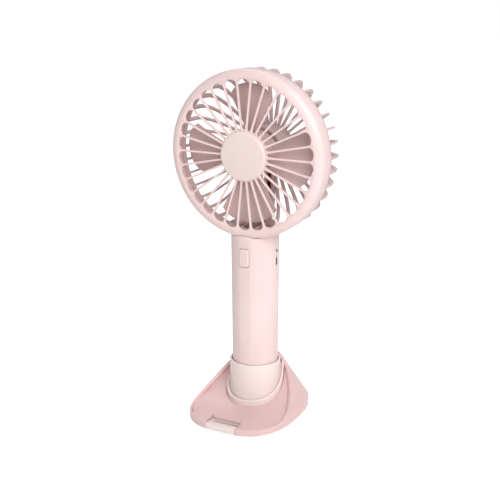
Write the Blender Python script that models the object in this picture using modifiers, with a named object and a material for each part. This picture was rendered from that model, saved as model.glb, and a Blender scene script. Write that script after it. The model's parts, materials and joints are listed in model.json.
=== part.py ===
"""Handheld electric fan in its stand, piece by piece. Metres, +Z up, front towards -Y.

The origin is under the handle's axis, on the surface that the stand rests on. Head pieces are
turned about the impeller's axis, which runs along Y at HEAD_HEIGHT: in their own coordinates +Z
points to the front and +Y up.
"""
import math

import bmesh
import bpy
from mathutils import Matrix, Vector

MM = 0.001

# Clearances
GAP = 0.3 * MM               # between neighbours that are fixed to each other
RUN = 0.1 * MM               # radial play of the shaft in its bushes
DROP_FIT = 0.45 * MM         # radial play of the handle in the stand's cup

# Overall
HANDLE_TOP_Z = 118.5 * MM    # top edge of the handle above the table
HEAD_RADIUS = 51.8 * MM      # outside of the front ring
HEAD_SINK = 1.8 * MM         # how far the ring sinks into the handle's top
HEAD_HEIGHT = HANDLE_TOP_Z + HEAD_RADIUS - HEAD_SINK     # impeller axis above the table

# Head
FACE_Y = -15.9 * MM          # plane of the front grille
RING_BACK_Y = -4.5 * MM      # back edge of the front ring
RING_ROUND = 3.9 * MM        # depth of the ring's rounded front edge
RING_FACE = 5.4 * MM         # width of the ring's rounded front
MOUTH_RADIUS = HEAD_RADIUS - RING_FACE   # clear radius of the grille's openings
RING_WALL = 1.8 * MM
GRILLE_THICKNESS = 1.9 * MM
SPOKES = 30
SPOKE_WIDTH = 1.15 * MM
SPOKE_SINK = 0.15 * MM       # the spokes' faces lie this far behind the ring's
CAP_RADIUS = 15.2 * MM
CAP_THICKNESS = 1.1 * MM
CAP_PEG_RADIUS = 3.0 * MM

# Rear cage
RIBS = 36
RIB_WIDTH = 1.3 * MM
RIB_DEPTH = 3.2 * MM
CAGE_RADIUS = HEAD_RADIUS - GAP
CAGE_STRAIGHT_Y = 6.0 * MM   # where the ribs start to curve in
CAGE_POWER = 0.75            # under 1 the ribs turn in more sharply than an ellipse
RIB_SEAT = 0.5 * MM          # how far the ribs stay behind the cage ring's faces
HUB_RADIUS = 15.0 * MM
HUB_WALL = 2.3 * MM
HUB_FRONT_Y = 6.4 * MM
HUB_BACK_Y = 24.4 * MM
HUB_FLOOR = 1.6 * MM
REAR_CAP_THICKNESS = 1.2 * MM
REAR_CAP_RADIUS = HUB_RADIUS - 1.0 * MM
REAR_CAP_CROWN = 0.3 * MM
CAGE_RING_DEPTH = 2.6 * MM   # along the axis
COLLAR_HEIGHT = 8.0 * MM     # neck collar above the handle, before it is cut to the ring
CHANNEL_WIDTH = 6.4 * MM     # lead channel in the lowest rib
CHANNEL_DEPTH = 4.6 * MM
CHANNEL_WALL = 1.4 * MM

# Impeller
BLADES = 4
BLADE_CLEARANCE = 2.9 * MM   # between the blade tips and the grille's mouth
BLADE_RADIUS = MOUTH_RADIUS - BLADE_CLEARANCE
BLADE_THICKNESS = 1.2 * MM
BLADE_SPAN_DEG = 51.0        # angle that one blade covers, seen from the front
BLADE_TURN_DEG = -1.0
BLADE_DEPTH = 11.0 * MM      # how far a blade reaches along the axis
IMPELLER_HUB_RADIUS = 14.0 * MM
BLADE_MIDDLE_Y = -6.6 * MM
IMPELLER_FRONT_Y = -12.9 * MM
IMPELLER_BACK_Y = 2.6 * MM
IMPELLER_WALL = 1.3 * MM

# Motor
MOTOR_RADIUS = 12.2 * MM
MOTOR_FRONT_Y = 7.0 * MM
MOTOR_LENGTH = 10.6 * MM
CAN_WALL = 0.7 * MM
BELL_THICKNESS = 1.6 * MM
SHAFT_RADIUS = 1.0 * MM
SHAFT_FRONT_Y = -8.6 * MM
BUSH_RADIUS = 2.6 * MM
MAGNET_THICKNESS = 1.3 * MM
MAGNET_SPAN_DEG = 118.0
ROTOR_AIR_GAP = 0.5 * MM
CORE_LENGTH = 4.4 * MM
CORE_HUB_RADIUS = 3.0 * MM
NECK_HALF_WIDTH = 1.2 * MM
SHOE_THICKNESS = 1.3 * MM
SHOE_HALF_DEG = 50.0
WINDING_WALL = 0.7 * MM

# Handle
HANDLE_TOP_RADIUS = 15.3 * MM
HANDLE_TAPER = 0.0068        # loss of radius per unit of height going down
HANDLE_WALL = 1.8 * MM
HANDLE_BOTTOM_Z = 11.9 * MM
END_CAP_HEIGHT = 2.8 * MM
END_CAP_PLUG = 2.0 * MM
NECK_LENGTH = 6.5 * MM
NECK_WALL = 1.5 * MM
SCREW_SHANK = 1.0 * MM
SCREW_HEAD = 2.0 * MM
SCREW_HEAD_HEIGHT = 0.9 * MM
TOWER_RADIUS = 3.4 * MM      # screw tower inside the rear shell
LOWER_SCREW_Z = HANDLE_BOTTOM_Z + END_CAP_HEIGHT + END_CAP_PLUG + GAP + TOWER_RADIUS
NECK_SCREW_Z = HANDLE_TOP_Z - 4.9 * MM

# Controls and electrics
BUTTON_WIDTH = 6.4 * MM
BUTTON_HEIGHT = 11.5 * MM
BUTTON_Z = HANDLE_TOP_Z - 14.3 * MM
BUTTON_FACE_Y = -HANDLE_TOP_RADIUS - 0.5 * MM
BUTTON_FLANGE = 1.0 * MM
SWITCH_SIZE = 6.0 * MM
BOARD_THICKNESS = 1.4 * MM
BOARD_WIDTH = 2 * (HANDLE_TOP_RADIUS - 5.3 * MM)
BOARD_HEIGHT = 17.0 * MM
BOARD_HIGH_Z = HANDLE_TOP_Z - NECK_LENGTH - 1.2 * MM
BOARD_LOW_Z = BOARD_HIGH_Z - BOARD_HEIGHT
PORT_Z = HANDLE_TOP_Z - 17.9 * MM
PORT_X = HANDLE_TOP_RADIUS - 2.2 * MM     # middle of the socket's mouth piece
PORT_NOSE = (5.0 * MM, 2.0 * MM)      # height and width of the socket's mouth piece
LIGHT_Z = HANDLE_TOP_Z - 11.1 * MM
LIGHT_RADIUS = 0.85 * MM
CELL_RADIUS = HANDLE_TOP_RADIUS - HANDLE_WALL - 4.35 * MM
CELL_Y = 1.6 * MM
CRADLE_WALL = 1.1 * MM
TAB_THICKNESS = 0.4 * MM
CELL_LOW_Z = LOWER_SCREW_Z + TOWER_RADIUS + 2 * GAP + TAB_THICKNESS
CELL_LENGTH = BOARD_LOW_Z - 2 * GAP - TAB_THICKNESS - CELL_LOW_Z - 1.5 * MM
LEAD_RADIUS = 0.55 * MM

# Stand
CUP_TOP_Z = 33.0 * MM
CUP_WALL = 1.35 * MM
CUP_STEM_RADIUS = 13.6 * MM
SHOULDER_REACH = 2.2 * MM    # how far the shoulder stands out from the cup
SHOULDER_RISE = 3.6 * MM     # top of the shoulder above the deck
SHOULDER_WALL = 1.5 * MM
GROOVE_WIDTH = 0.8 * MM      # shadow groove between the cup and its shoulder
GROOVE_DEPTH = 1.2 * MM
POCKET_TOP_Z = 6.6 * MM      # hollow under the shoulder
DECK_FRONT_Z = 4.3 * MM
DECK_TOP_Z = 30.6 * MM       # the deck's slope would reach this at SCOOP_TOP_Y
DECK_POWER = 3.0
DECK_THICKNESS = 1.4 * MM
SKIRT_TOP_RADIUS = 17.9 * MM
SKIRT_WALL = 2.0 * MM
FOOT_HALF_WIDTH = 34.5 * MM
FOOT_HALF_DEPTH = 41.5 * MM
FOOT_CENTRE_Y = -7.5 * MM
FOOT_SQUARENESS = 2.65       # exponent of the foot's outline: 2 is an ellipse
FOOT_RIM_Z = 4.6 * MM
FOOT_EDGE_Z = 0.5 * MM
SHOULDER_BACK_Y = 0.235 * FOOT_HALF_WIDTH    # shoulder and deck end here, behind the cup's sides
SCOOP_FRONT_Y = -40.0 * MM   # the scooped front opening of the skirt runs up from here
SCOOP_TOP_Y = 13.6 * MM
SCOOP_POWER = 2.35
NOTCH_WIDTH = 20.6 * MM
NOTCH_BACK_Y = -38.4 * MM
TAB_HEIGHT = 3.1 * MM
TAB_BACK_Y = -43.6 * MM      # an open slot separates the tab from the deck
SLOT_MARGIN = 1.2 * MM       # the slot is this much narrower than the tab at each end
PAD_THICKNESS = 0.8 * MM
PLATE_THICKNESS = 1.7 * MM
STAND_SCREW_CIRCLE = 10.0 * MM

ROUND = 48                   # segments of a large turned piece
MID_ROUND = 32
SMALL_ROUND = 18
TINY_ROUND = 12
FOOT_POINTS = 56

FRONT_FACING = Matrix.Rotation(math.radians(90), 4, "X")

COLOURS = {
    "shell": ((0.87, 0.66, 0.65), 0.38, 0.0),
    "cap": ((0.95, 0.76, 0.73), 0.30, 0.0),
    "cage": ((0.86, 0.65, 0.64), 0.42, 0.0),
    "blade": ((0.70, 0.50, 0.50), 0.34, 0.0),
    "button": ((0.90, 0.70, 0.69), 0.30, 0.0),
    "skirt": ((0.80, 0.58, 0.57), 0.34, 0.0),
    "cup": ((0.94, 0.78, 0.75), 0.22, 0.0),
    "rubber": ((0.10, 0.10, 0.10), 0.85, 0.0),
    "dark": ((0.05, 0.05, 0.05), 0.55, 0.0),
    "board": ((0.05, 0.24, 0.12), 0.45, 0.0),
    "cell": ((0.10, 0.25, 0.60), 0.40, 0.0),
    "steel": ((0.62, 0.62, 0.63), 0.32, 1.0),
    "magnet": ((0.16, 0.16, 0.17), 0.60, 0.0),
    "copper": ((0.72, 0.34, 0.20), 0.34, 1.0),
    "brass": ((0.75, 0.58, 0.28), 0.34, 1.0),
    "lens": ((0.85, 0.88, 0.90), 0.15, 0.0),
    "lead_red": ((0.60, 0.05, 0.04), 0.50, 0.0),
    "lead_black": ((0.03, 0.03, 0.03), 0.50, 0.0),
}


# ---------------------------------------------------------------- scene and materials

def empty_scene():
    for obj in list(bpy.data.objects):
        bpy.data.objects.remove(obj, do_unlink=True)


def collection(name):
    made = bpy.data.collections.new(name)
    bpy.context.scene.collection.children.link(made)
    return made


empty_scene()
PARTS = collection("handheld_fan")
CUTTERS = collection("cutters")


def material(name, finish):
    colour, roughness, metallic = COLOURS[finish]
    made = bpy.data.materials.new(name)
    made.use_nodes = True
    shader = made.node_tree.nodes["Principled BSDF"]
    shader.inputs["Base Color"].default_value = (*colour, 1.0)
    shader.inputs["Roughness"].default_value = roughness
    shader.inputs["Metallic"].default_value = metallic
    made.diffuse_color = (*colour, 1.0)
    return made


def new_object(name, data, home, matrix=None):
    obj = bpy.data.objects.new(name, data)
    home.objects.link(obj)
    if matrix is not None:
        obj.matrix_world = matrix
    return obj


def part(obj, finish):
    """Turn a finished shape into a named sub-part with its own material."""
    for home in list(obj.users_collection):
        home.objects.unlink(obj)
    PARTS.objects.link(obj)
    obj.hide_render = False
    obj.display_type = "TEXTURED"
    obj.data.name = obj.name
    obj.data.materials.clear()
    obj.data.materials.append(material(obj.name, finish))
    if obj.type == "MESH":
        obj.data.shade_smooth()
        obj.data.set_sharp_from_angle(angle=math.radians(32))
    return obj


def tool(obj):
    """Keep a shape as a cutter or as the second half of a union."""
    for home in list(obj.users_collection):
        home.objects.unlink(obj)
    CUTTERS.objects.link(obj)
    obj.hide_render = True
    obj.display_type = "WIRE"
    return obj


# ---------------------------------------------------------------- shape builders

def mesh_object(name, bm, matrix=None):
    mesh = bpy.data.meshes.new(name)
    bm.to_mesh(mesh)
    bm.free()
    return new_object(name, mesh, CUTTERS, matrix)


def box(name, low, high):
    bm = bmesh.new()
    bmesh.ops.create_cube(bm, size=1.0)
    low = Vector(low)
    high = Vector(high)
    size = high - low
    bmesh.ops.scale(bm, vec=size, verts=bm.verts)
    bmesh.ops.translate(bm, vec=(low + high) / 2, verts=bm.verts)
    return mesh_object(name, bm)


def rod(name, start, end, radius, segments=SMALL_ROUND):
    """A plain cylinder between two points."""
    start = Vector(start)
    end = Vector(end)
    along = end - start
    bm = bmesh.new()
    bmesh.ops.create_cone(bm, cap_ends=True, segments=segments, radius1=radius, radius2=radius,
                          depth=along.length)
    turn = along.to_track_quat("Z", "Y").to_matrix().to_4x4()
    turn = turn @ Matrix.Rotation(math.pi / 2 / segments, 4, "Z")
    return mesh_object(name, bm, Matrix.Translation((start + end) / 2) @ turn)


def turned(name, profile, matrix=None, steps=ROUND):
    """Turn (radius, height) points, which run down the outer side first, about local Z."""
    bm = bmesh.new()
    verts = [bm.verts.new((radius, 0.0, height)) for radius, height in profile]
    for first, second in zip(verts, verts[1:]):
        bm.edges.new((first, second))
    if profile[0][0] > 0.0:
        bm.edges.new((verts[-1], verts[0]))
    obj = mesh_object(name, bm, matrix)
    screw = obj.modifiers.new("turn", "SCREW")
    screw.steps = steps
    screw.render_steps = steps
    screw.use_merge_vertices = True
    screw.merge_threshold = 0.00001
    return obj


def head_matrix(y=0.0):
    return Matrix.Translation((0.0, y, HEAD_HEIGHT)) @ FRONT_FACING


def head_turned(name, profile, steps=ROUND):
    """Turn (radius, y) points about the impeller axis. They run from the front backwards."""
    return turned(name, [(radius, -y) for radius, y in profile], head_matrix(), steps)


def flat(name, outlines, thickness, matrix=None):
    """Extrude closed flat outlines, the first outside and the others holes, as a mesh."""
    curve = bpy.data.curves.new(name, "CURVE")
    curve.dimensions = "2D"
    curve.fill_mode = "BOTH"
    curve.extrude = thickness / 2
    for outline in outlines:
        spline = curve.splines.new("POLY")
        spline.points.add(len(outline) - 1)
        for point, (x, y) in zip(spline.points, outline):
            point.co = (x, y, 0.0, 1.0)
        spline.use_cyclic_u = True
    holder = new_object(name + "_outline", curve, CUTTERS, matrix)
    bpy.context.view_layer.update()
    return welded(name, holder)


def welded(name, holder):
    """Make a curve object's evaluated shape into a mesh object and remove the curve."""
    depsgraph = bpy.context.evaluated_depsgraph_get()
    mesh = bpy.data.meshes.new_from_object(holder.evaluated_get(depsgraph))
    bm = bmesh.new()
    bm.from_mesh(mesh)
    bmesh.ops.remove_doubles(bm, verts=bm.verts, dist=0.000001)
    bmesh.ops.recalc_face_normals(bm, faces=bm.faces)
    matrix = holder.matrix_world.copy()
    bpy.data.objects.remove(holder, do_unlink=True)
    bpy.data.meshes.remove(mesh)
    return mesh_object(name, bm, matrix)


def combine(obj, other, operation):
    tool(other)
    step = obj.modifiers.new(other.name, "BOOLEAN")
    step.operation = operation
    step.solver = "EXACT"
    step.object = other
    return obj


def cut(obj, *others):
    for other in others:
        combine(obj, other, "DIFFERENCE")
    return obj


def join(obj, *others):
    for other in others:
        combine(obj, other, "UNION")
    return obj


def arc(centre, radius, start_deg, end_deg, steps):
    """Points of an arc, both ends included."""
    points = []
    for index in range(steps + 1):
        angle = math.radians(start_deg + (end_deg - start_deg) * index / steps)
        points.append((centre[0] + radius * math.cos(angle), centre[1] + radius * math.sin(angle)))
    return points


def rounded_rectangle(width, height, radius, steps=4):
    points = []
    for sign_x, sign_y, start in ((1, 1, 0), (-1, 1, 90), (-1, -1, 180), (1, -1, 270)):
        centre = (sign_x * (width / 2 - radius), sign_y * (height / 2 - radius))
        points += arc(centre, radius, start, start + 90, steps)
    return points


# ---------------------------------------------------------------- head: front

def ring_profile(grow=0.0):
    """Outside of the front ring from its rounded front edge to its back edge, as (radius, y)."""
    width = HEAD_RADIUS - MOUTH_RADIUS
    points = []
    for index in range(5):
        angle = math.radians(90 * index / 4)
        radius = MOUTH_RADIUS + width * math.sin(angle) + grow
        points.append((radius, FACE_Y + RING_ROUND * (1 - math.cos(angle)) - grow * math.cos(angle)))
    points.append((HEAD_RADIUS + grow, RING_BACK_Y + grow))
    return points


def grille_opening(index):
    """One wedge-shaped opening between two spokes, with its outer corners rounded."""
    middle = math.radians(90.0 + 360.0 * (index + 0.5) / SPOKES + 180.0 / SPOKES)
    half_pitch = math.pi / SPOKES

    def side(radius):
        return half_pitch - SPOKE_WIDTH / 2 / radius

    inner = CAP_RADIUS + 0.6 * MM
    outer = MOUTH_RADIUS - 0.4 * MM
    corner = 2.6 * MM
    shoulder = outer - corner
    polar = [(inner, -side(inner)), (shoulder, -side(shoulder))]
    for step in range(1, 3):
        rise = math.radians(90 * step / 3)
        polar.append((shoulder + corner * math.sin(rise),
                      -side(shoulder) + corner * (1 - math.cos(rise)) / outer))
    polar.append((outer, 0.0))
    polar += [(radius, -angle) for radius, angle in reversed(polar[:-1])]
    return [(radius * math.cos(middle + angle), radius * math.sin(middle + angle))
            for radius, angle in polar]


def front_grille():
    outline = [arc((0, 0), MOUTH_RADIUS + 1.0 * MM, 0, 360, ROUND)[:-1],
               arc((0, 0), CAP_PEG_RADIUS + GAP, 0, 360, 24)[:-1]]
    openings = [grille_opening(index) for index in range(SPOKES)]
    middle_y = FACE_Y + SPOKE_SINK + GRILLE_THICKNESS / 2
    spokes = flat("grille_spokes", outline + openings, GRILLE_THICKNESS, head_matrix(middle_y))
    lip = GRILLE_THICKNESS + 2 * SPOKE_SINK
    profile = ring_profile()
    profile += [(HEAD_RADIUS - RING_WALL, RING_BACK_Y), (HEAD_RADIUS - RING_WALL, FACE_Y + RING_ROUND),
                (MOUTH_RADIUS + 2.2 * MM, FACE_Y + lip), (MOUTH_RADIUS, FACE_Y + lip)]
    ring = head_turned("front_grille", profile)
    return part(join(ring, spokes), "shell")


def grille_cap():
    front = FACE_Y - GAP - CAP_THICKNESS
    back = FACE_Y - GAP
    profile = [(0.0, front - 0.35 * MM), (CAP_RADIUS * 0.6, front - 0.2 * MM),
               (CAP_RADIUS - 0.7 * MM, front), (CAP_RADIUS, front + 0.6 * MM), (CAP_RADIUS, back),
               (CAP_PEG_RADIUS, back), (CAP_PEG_RADIUS, FACE_Y + GRILLE_THICKNESS + 0.4 * MM),
               (0.0, FACE_Y + GRILLE_THICKNESS + 0.4 * MM)]
    return part(head_turned("grille_cap", profile, MID_ROUND), "cap")


# ---------------------------------------------------------------- head: rear cage

def cage_curve(inset, steps=5):
    """Outer side of a rib as (radius, y), moved inwards by inset."""
    rib_end = HUB_RADIUS - HUB_WALL / 2
    axial = HUB_BACK_Y - 1.1 * MM - CAGE_STRAIGHT_Y
    points = [(CAGE_RADIUS - inset, RING_BACK_Y + GAP + RIB_SEAT)]
    for index in range(steps + 1):
        angle = math.radians(90 * index / steps)
        points.append((rib_end + (CAGE_RADIUS - rib_end - inset) * math.cos(angle) ** CAGE_POWER,
                       CAGE_STRAIGHT_Y + (axial - inset) * math.sin(angle) ** CAGE_POWER))
    return points


def rib_outline(outer_inset, inner_inset):
    outer = cage_curve(outer_inset)
    inner = cage_curve(inner_inset)
    return [(radius, -y) for radius, y in outer + inner[::-1]]


def radial_flat(name, outline, thickness):
    """A flat (radius, depth) outline standing along the head's local X axis."""
    return flat(name, [outline], thickness, FRONT_FACING)


def rib_fan():
    """All thin ribs as one set of separate bars, in head coordinates."""
    pattern = radial_flat("rib_pattern", rib_outline(0.0, RIB_DEPTH), RIB_WIDTH)
    bm = bmesh.new()
    for index in range(RIBS):
        angle = 360.0 * index / RIBS
        if abs(angle - 270.0) < 1.0:
            continue
        start = len(bm.verts)
        bm.from_mesh(pattern.data)
        bm.verts.ensure_lookup_table()
        turn = Matrix.Rotation(math.radians(angle), 4, "Z") @ pattern.matrix_world
        bmesh.ops.transform(bm, matrix=turn, verts=bm.verts[start:])
    bpy.data.objects.remove(pattern, do_unlink=True)
    return mesh_object("cage_ribs", bm, head_matrix())


def channel_rib(name, outer_inset, inner_inset, width):
    down = Matrix.Rotation(math.radians(-90), 4, "Z")
    rib = radial_flat(name, rib_outline(outer_inset, inner_inset), width)
    rib.matrix_world = head_matrix() @ down @ rib.matrix_world
    return rib


def rear_cage():
    front = RING_BACK_Y + GAP
    ring = head_turned("rear_cage", [
        (CAGE_RADIUS + 0.2 * MM, front), (CAGE_RADIUS + 0.2 * MM, front + CAGE_RING_DEPTH),
        (CAGE_RADIUS - RIB_DEPTH + RIB_SEAT, front + CAGE_RING_DEPTH),
        (CAGE_RADIUS - RIB_DEPTH + RIB_SEAT, front)])
    hub = head_turned("cage_hub", [
        (HUB_RADIUS, HUB_FRONT_Y), (HUB_RADIUS, HUB_BACK_Y), (SHAFT_RADIUS * 2, HUB_BACK_Y),
        (SHAFT_RADIUS * 2, HUB_BACK_Y - HUB_FLOOR), (HUB_RADIUS - HUB_WALL, HUB_BACK_Y - HUB_FLOOR),
        (HUB_RADIUS - HUB_WALL, HUB_FRONT_Y)], MID_ROUND)
    collar = rod("neck_collar", (0, 0, HANDLE_TOP_Z + GAP), (0, 0, HANDLE_TOP_Z + COLLAR_HEIGHT),
                 HANDLE_TOP_RADIUS, MID_ROUND)
    outer = HANDLE_TOP_RADIUS - HANDLE_WALL - GAP
    spigot = rod("neck_spigot", (0, 0, HANDLE_TOP_Z - NECK_LENGTH), (0, 0, HANDLE_TOP_Z + 2 * MM),
                 outer, MID_ROUND)
    bore = rod("neck_bore", (0, 0, HANDLE_TOP_Z - NECK_LENGTH - 1 * MM), (0, 0, HANDLE_TOP_Z - 1 * MM),
               outer - NECK_WALL, MID_ROUND)
    boss = rod("neck_boss", (0, outer - 0.5 * MM, NECK_SCREW_Z), (0, outer - 6 * MM, NECK_SCREW_Z),
               2.3 * MM, TINY_ROUND)
    pilot = rod("neck_pilot", (0, outer + 1 * MM, NECK_SCREW_Z), (0, outer - 4.6 * MM, NECK_SCREW_Z),
                SCREW_SHANK + RUN, TINY_ROUND)
    front_room = head_turned("front_ring_room", [
        (0.0, FACE_Y - 3 * MM), (MOUTH_RADIUS, FACE_Y - 3 * MM)] + ring_profile(GAP)
        + [(0.0, RING_BACK_Y + GAP + 0.35 * MM)])
    clear = RIB_DEPTH - RIB_SEAT
    inside = [(0.0, RING_BACK_Y - 1 * MM), (CAGE_RADIUS - clear, RING_BACK_Y - 1 * MM)]
    inside += cage_curve(clear)[1:] + [(0.0, HUB_BACK_Y - 5 * MM)]
    head_room = head_turned("head_room", inside)
    lead_slot = box("lead_slot", (-3 * MM, 0.5 * MM, HANDLE_TOP_Z - 3 * MM),
                    (3 * MM, 5 * MM, HANDLE_TOP_Z + 5 * MM))
    lead_hole = box("hub_lead_hole", (-2.2 * MM, HUB_BACK_Y - HUB_FLOOR - 3 * MM,
                                      HEAD_HEIGHT - HUB_RADIUS - 3 * MM),
                    (2.2 * MM, HUB_BACK_Y - HUB_FLOOR - 0.2 * MM, HEAD_HEIGHT - HUB_RADIUS + 4 * MM))
    cut(collar, head_room)
    cut(collar, front_room)
    cut(spigot, bore)
    join(spigot, boss)
    cut(spigot, pilot)
    cut(spigot, front_room.copy(), head_room.copy())
    join(ring, rib_fan())
    join(ring, channel_rib("channel", 0.0, CHANNEL_DEPTH, CHANNEL_WIDTH))
    join(ring, hub, collar, spigot)
    groove = channel_rib("channel_groove", CHANNEL_WALL, CHANNEL_DEPTH + 3 * MM,
                         CHANNEL_WIDTH - 2 * CHANNEL_WALL)
    groove.matrix_world = Matrix.Translation((0, -RIB_SEAT / 2, 0)) @ groove.matrix_world
    cut(ring, groove, lead_slot, lead_hole)
    return part(ring, "cage")


def rear_hub_cap():
    front = HUB_BACK_Y + GAP
    back = front + REAR_CAP_THICKNESS
    profile = [(0.0, front), (REAR_CAP_RADIUS, front), (REAR_CAP_RADIUS, back - 0.5 * MM),
               (REAR_CAP_RADIUS - 0.6 * MM, back), (0.0, back + REAR_CAP_CROWN)]
    return part(head_turned("rear_hub_cap", profile, MID_ROUND), "cap")


# ---------------------------------------------------------------- impeller

def blade():
    """One pitched blade as a bent grid, in head coordinates, before it gets its thickness."""
    bm = bmesh.new()
    bmesh.ops.create_grid(bm, x_segments=5, y_segments=6, size=0.5)
    root = IMPELLER_HUB_RADIUS - IMPELLER_WALL * 0.6
    for vert in bm.verts:
        along = vert.co.x + 0.5
        across = vert.co.y * 2
        tip = BLADE_RADIUS - 5.0 * MM * abs(across) ** 3
        radius = root + (tip - root) * along
        spread = BLADE_SPAN_DEG * (0.86 + 0.14 * along)
        angle = math.radians(spread / 2 * across)
        rise = BLADE_DEPTH / 2 * (across - 0.10 * math.sin(math.pi * across))
        height = -BLADE_MIDDLE_Y - rise * (0.86 + 0.14 * (1 - along))
        vert.co = (radius * math.cos(angle), radius * math.sin(angle), height)
    bmesh.ops.recalc_face_normals(bm, faces=bm.faces)
    return bm


def blade_set():
    one = bpy.data.meshes.new("blade_pattern")
    pattern = blade()
    pattern.to_mesh(one)
    pattern.free()
    bm = bmesh.new()
    for index in range(BLADES):
        start = len(bm.verts)
        bm.from_mesh(one)
        bm.verts.ensure_lookup_table()
        turn = Matrix.Rotation(math.radians(BLADE_TURN_DEG + 360.0 * index / BLADES), 4, "Z")
        bmesh.ops.transform(bm, matrix=turn, verts=bm.verts[start:])
    blades = mesh_object("blades", bm, head_matrix())
    shell = blades.modifiers.new("thickness", "SOLIDIFY")
    shell.thickness = BLADE_THICKNESS
    shell.offset = 0.0
    return blades


def impeller():
    front = IMPELLER_FRONT_Y
    inner = IMPELLER_HUB_RADIUS - IMPELLER_WALL
    bore = SHAFT_RADIUS + RUN
    profile = [(0.0, front), (IMPELLER_HUB_RADIUS - 2.4 * MM, front),
               (IMPELLER_HUB_RADIUS - 0.7 * MM, front + 0.7 * MM),
               (IMPELLER_HUB_RADIUS, front + 2.4 * MM), (IMPELLER_HUB_RADIUS, IMPELLER_BACK_Y),
               (inner, IMPELLER_BACK_Y), (inner, front + IMPELLER_WALL + 1.2 * MM),
               (3.0 * MM, front + IMPELLER_WALL), (3.0 * MM, IMPELLER_BACK_Y + 1.6 * MM),
               (bore, IMPELLER_BACK_Y + 1.6 * MM), (bore, SHAFT_FRONT_Y - GAP),
               (0.0, SHAFT_FRONT_Y - GAP)]
    hub = head_turned("impeller", profile, MID_ROUND)
    return part(join(hub, blade_set()), "blade")


# ---------------------------------------------------------------- motor

def motor_back_y():
    return MOTOR_FRONT_Y + MOTOR_LENGTH


def motor_can():
    inner = MOTOR_RADIUS - CAN_WALL
    front = MOTOR_FRONT_Y
    profile = [(BUSH_RADIUS + 0.6 * MM, front - 1.2 * MM), (BUSH_RADIUS + 0.6 * MM, front),
               (MOTOR_RADIUS - 0.6 * MM, front), (MOTOR_RADIUS, front + 0.6 * MM),
               (MOTOR_RADIUS, motor_back_y()), (inner, motor_back_y()), (inner, front + CAN_WALL),
               (BUSH_RADIUS + RUN, front + CAN_WALL), (BUSH_RADIUS + RUN, front - 1.2 * MM)]
    return part(head_turned("motor_can", profile, MID_ROUND), "steel")


def motor_end_bell():
    front = motor_back_y() + GAP
    profile = [(MOTOR_RADIUS - 0.2 * MM, front), (MOTOR_RADIUS - 0.2 * MM, front + BELL_THICKNESS),
               (BUSH_RADIUS + RUN, front + BELL_THICKNESS), (BUSH_RADIUS + RUN, front)]
    return part(head_turned("motor_end_bell", profile, MID_ROUND), "dark")


def bushing(name, front, length):
    profile = [(BUSH_RADIUS, front), (BUSH_RADIUS, front + length),
               (SHAFT_RADIUS + RUN, front + length), (SHAFT_RADIUS + RUN, front)]
    return part(head_turned(name, profile, SMALL_ROUND), "brass")


def motor_shaft():
    back = motor_back_y() + GAP + BELL_THICKNESS + 0.6 * MM
    return part(rod("motor_shaft", (0, SHAFT_FRONT_Y, HEAD_HEIGHT), (0, back, HEAD_HEIGHT),
                    SHAFT_RADIUS, SMALL_ROUND), "steel")


def rotor_radius():
    return MOTOR_RADIUS - CAN_WALL - GAP - MAGNET_THICKNESS - ROTOR_AIR_GAP


def core_middle_y():
    return MOTOR_FRONT_Y + CAN_WALL + 4.4 * MM


def pole_angle(index):
    return 90.0 + 120.0 * index


def armature():
    """Three-pole core: three curved shoes on three necks round a small hub."""
    shoe = rotor_radius() - SHOE_THICKNESS
    outline = []
    for index in range(3):
        middle = pole_angle(index)
        at_shoe = math.degrees(math.asin(NECK_HALF_WIDTH / shoe))
        at_hub = math.degrees(math.asin(NECK_HALF_WIDTH / CORE_HUB_RADIUS))
        outline += arc((0, 0), rotor_radius(), middle - SHOE_HALF_DEG, middle + SHOE_HALF_DEG, 8)
        outline += arc((0, 0), shoe, middle + SHOE_HALF_DEG, middle + at_shoe, 4)
        outline += arc((0, 0), CORE_HUB_RADIUS, middle + at_hub, middle + 120 - at_hub, 4)
        outline += arc((0, 0), shoe, middle + 120 - at_shoe, middle + 120 - SHOE_HALF_DEG, 4)
    hole = arc((0, 0), SHAFT_RADIUS + RUN, 0, 360, SMALL_ROUND)[:-1]
    core = flat("motor_armature", [outline, hole], CORE_LENGTH, head_matrix(core_middle_y()))
    return part(core, "steel")


def winding(index):
    """Copper coil round one neck: a rounded block with a window."""
    start = CORE_HUB_RADIUS + 1.4 * MM
    length = rotor_radius() - SHOE_THICKNESS - 2 * GAP - start
    width = 2 * NECK_HALF_WIDTH + 2 * GAP
    height = CORE_LENGTH + 2 * GAP
    outline = rounded_rectangle(width + 2 * WINDING_WALL, height + 2 * WINDING_WALL, 0.7 * MM, 3)
    window = rounded_rectangle(width, height, 0.1 * MM, 1)
    placed = head_matrix(core_middle_y())
    placed = placed @ Matrix.Rotation(math.radians(pole_angle(index)), 4, "Z")
    placed = placed @ Matrix.Translation((start + length / 2, 0, 0)) @ side_facing()
    return part(flat("motor_winding_%d" % (index + 1), [outline, window], length, placed), "copper")


def commutator():
    front = core_middle_y() + CORE_LENGTH / 2 + 1.7 * MM
    profile = [(2.1 * MM, front), (2.1 * MM, motor_back_y() - 0.4 * MM),
               (SHAFT_RADIUS + RUN, motor_back_y() - 0.4 * MM), (SHAFT_RADIUS + RUN, front)]
    return part(head_turned("motor_commutator", profile, SMALL_ROUND), "copper")


def magnet(name, middle_deg):
    outer = MOTOR_RADIUS - CAN_WALL - GAP
    inner = outer - MAGNET_THICKNESS
    low = middle_deg - MAGNET_SPAN_DEG / 2
    high = middle_deg + MAGNET_SPAN_DEG / 2
    outline = arc((0, 0), outer, low, high, 8) + arc((0, 0), inner, high, low, 8)
    return part(flat(name, [outline], CORE_LENGTH + 2 * MM, head_matrix(core_middle_y())), "magnet")


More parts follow.
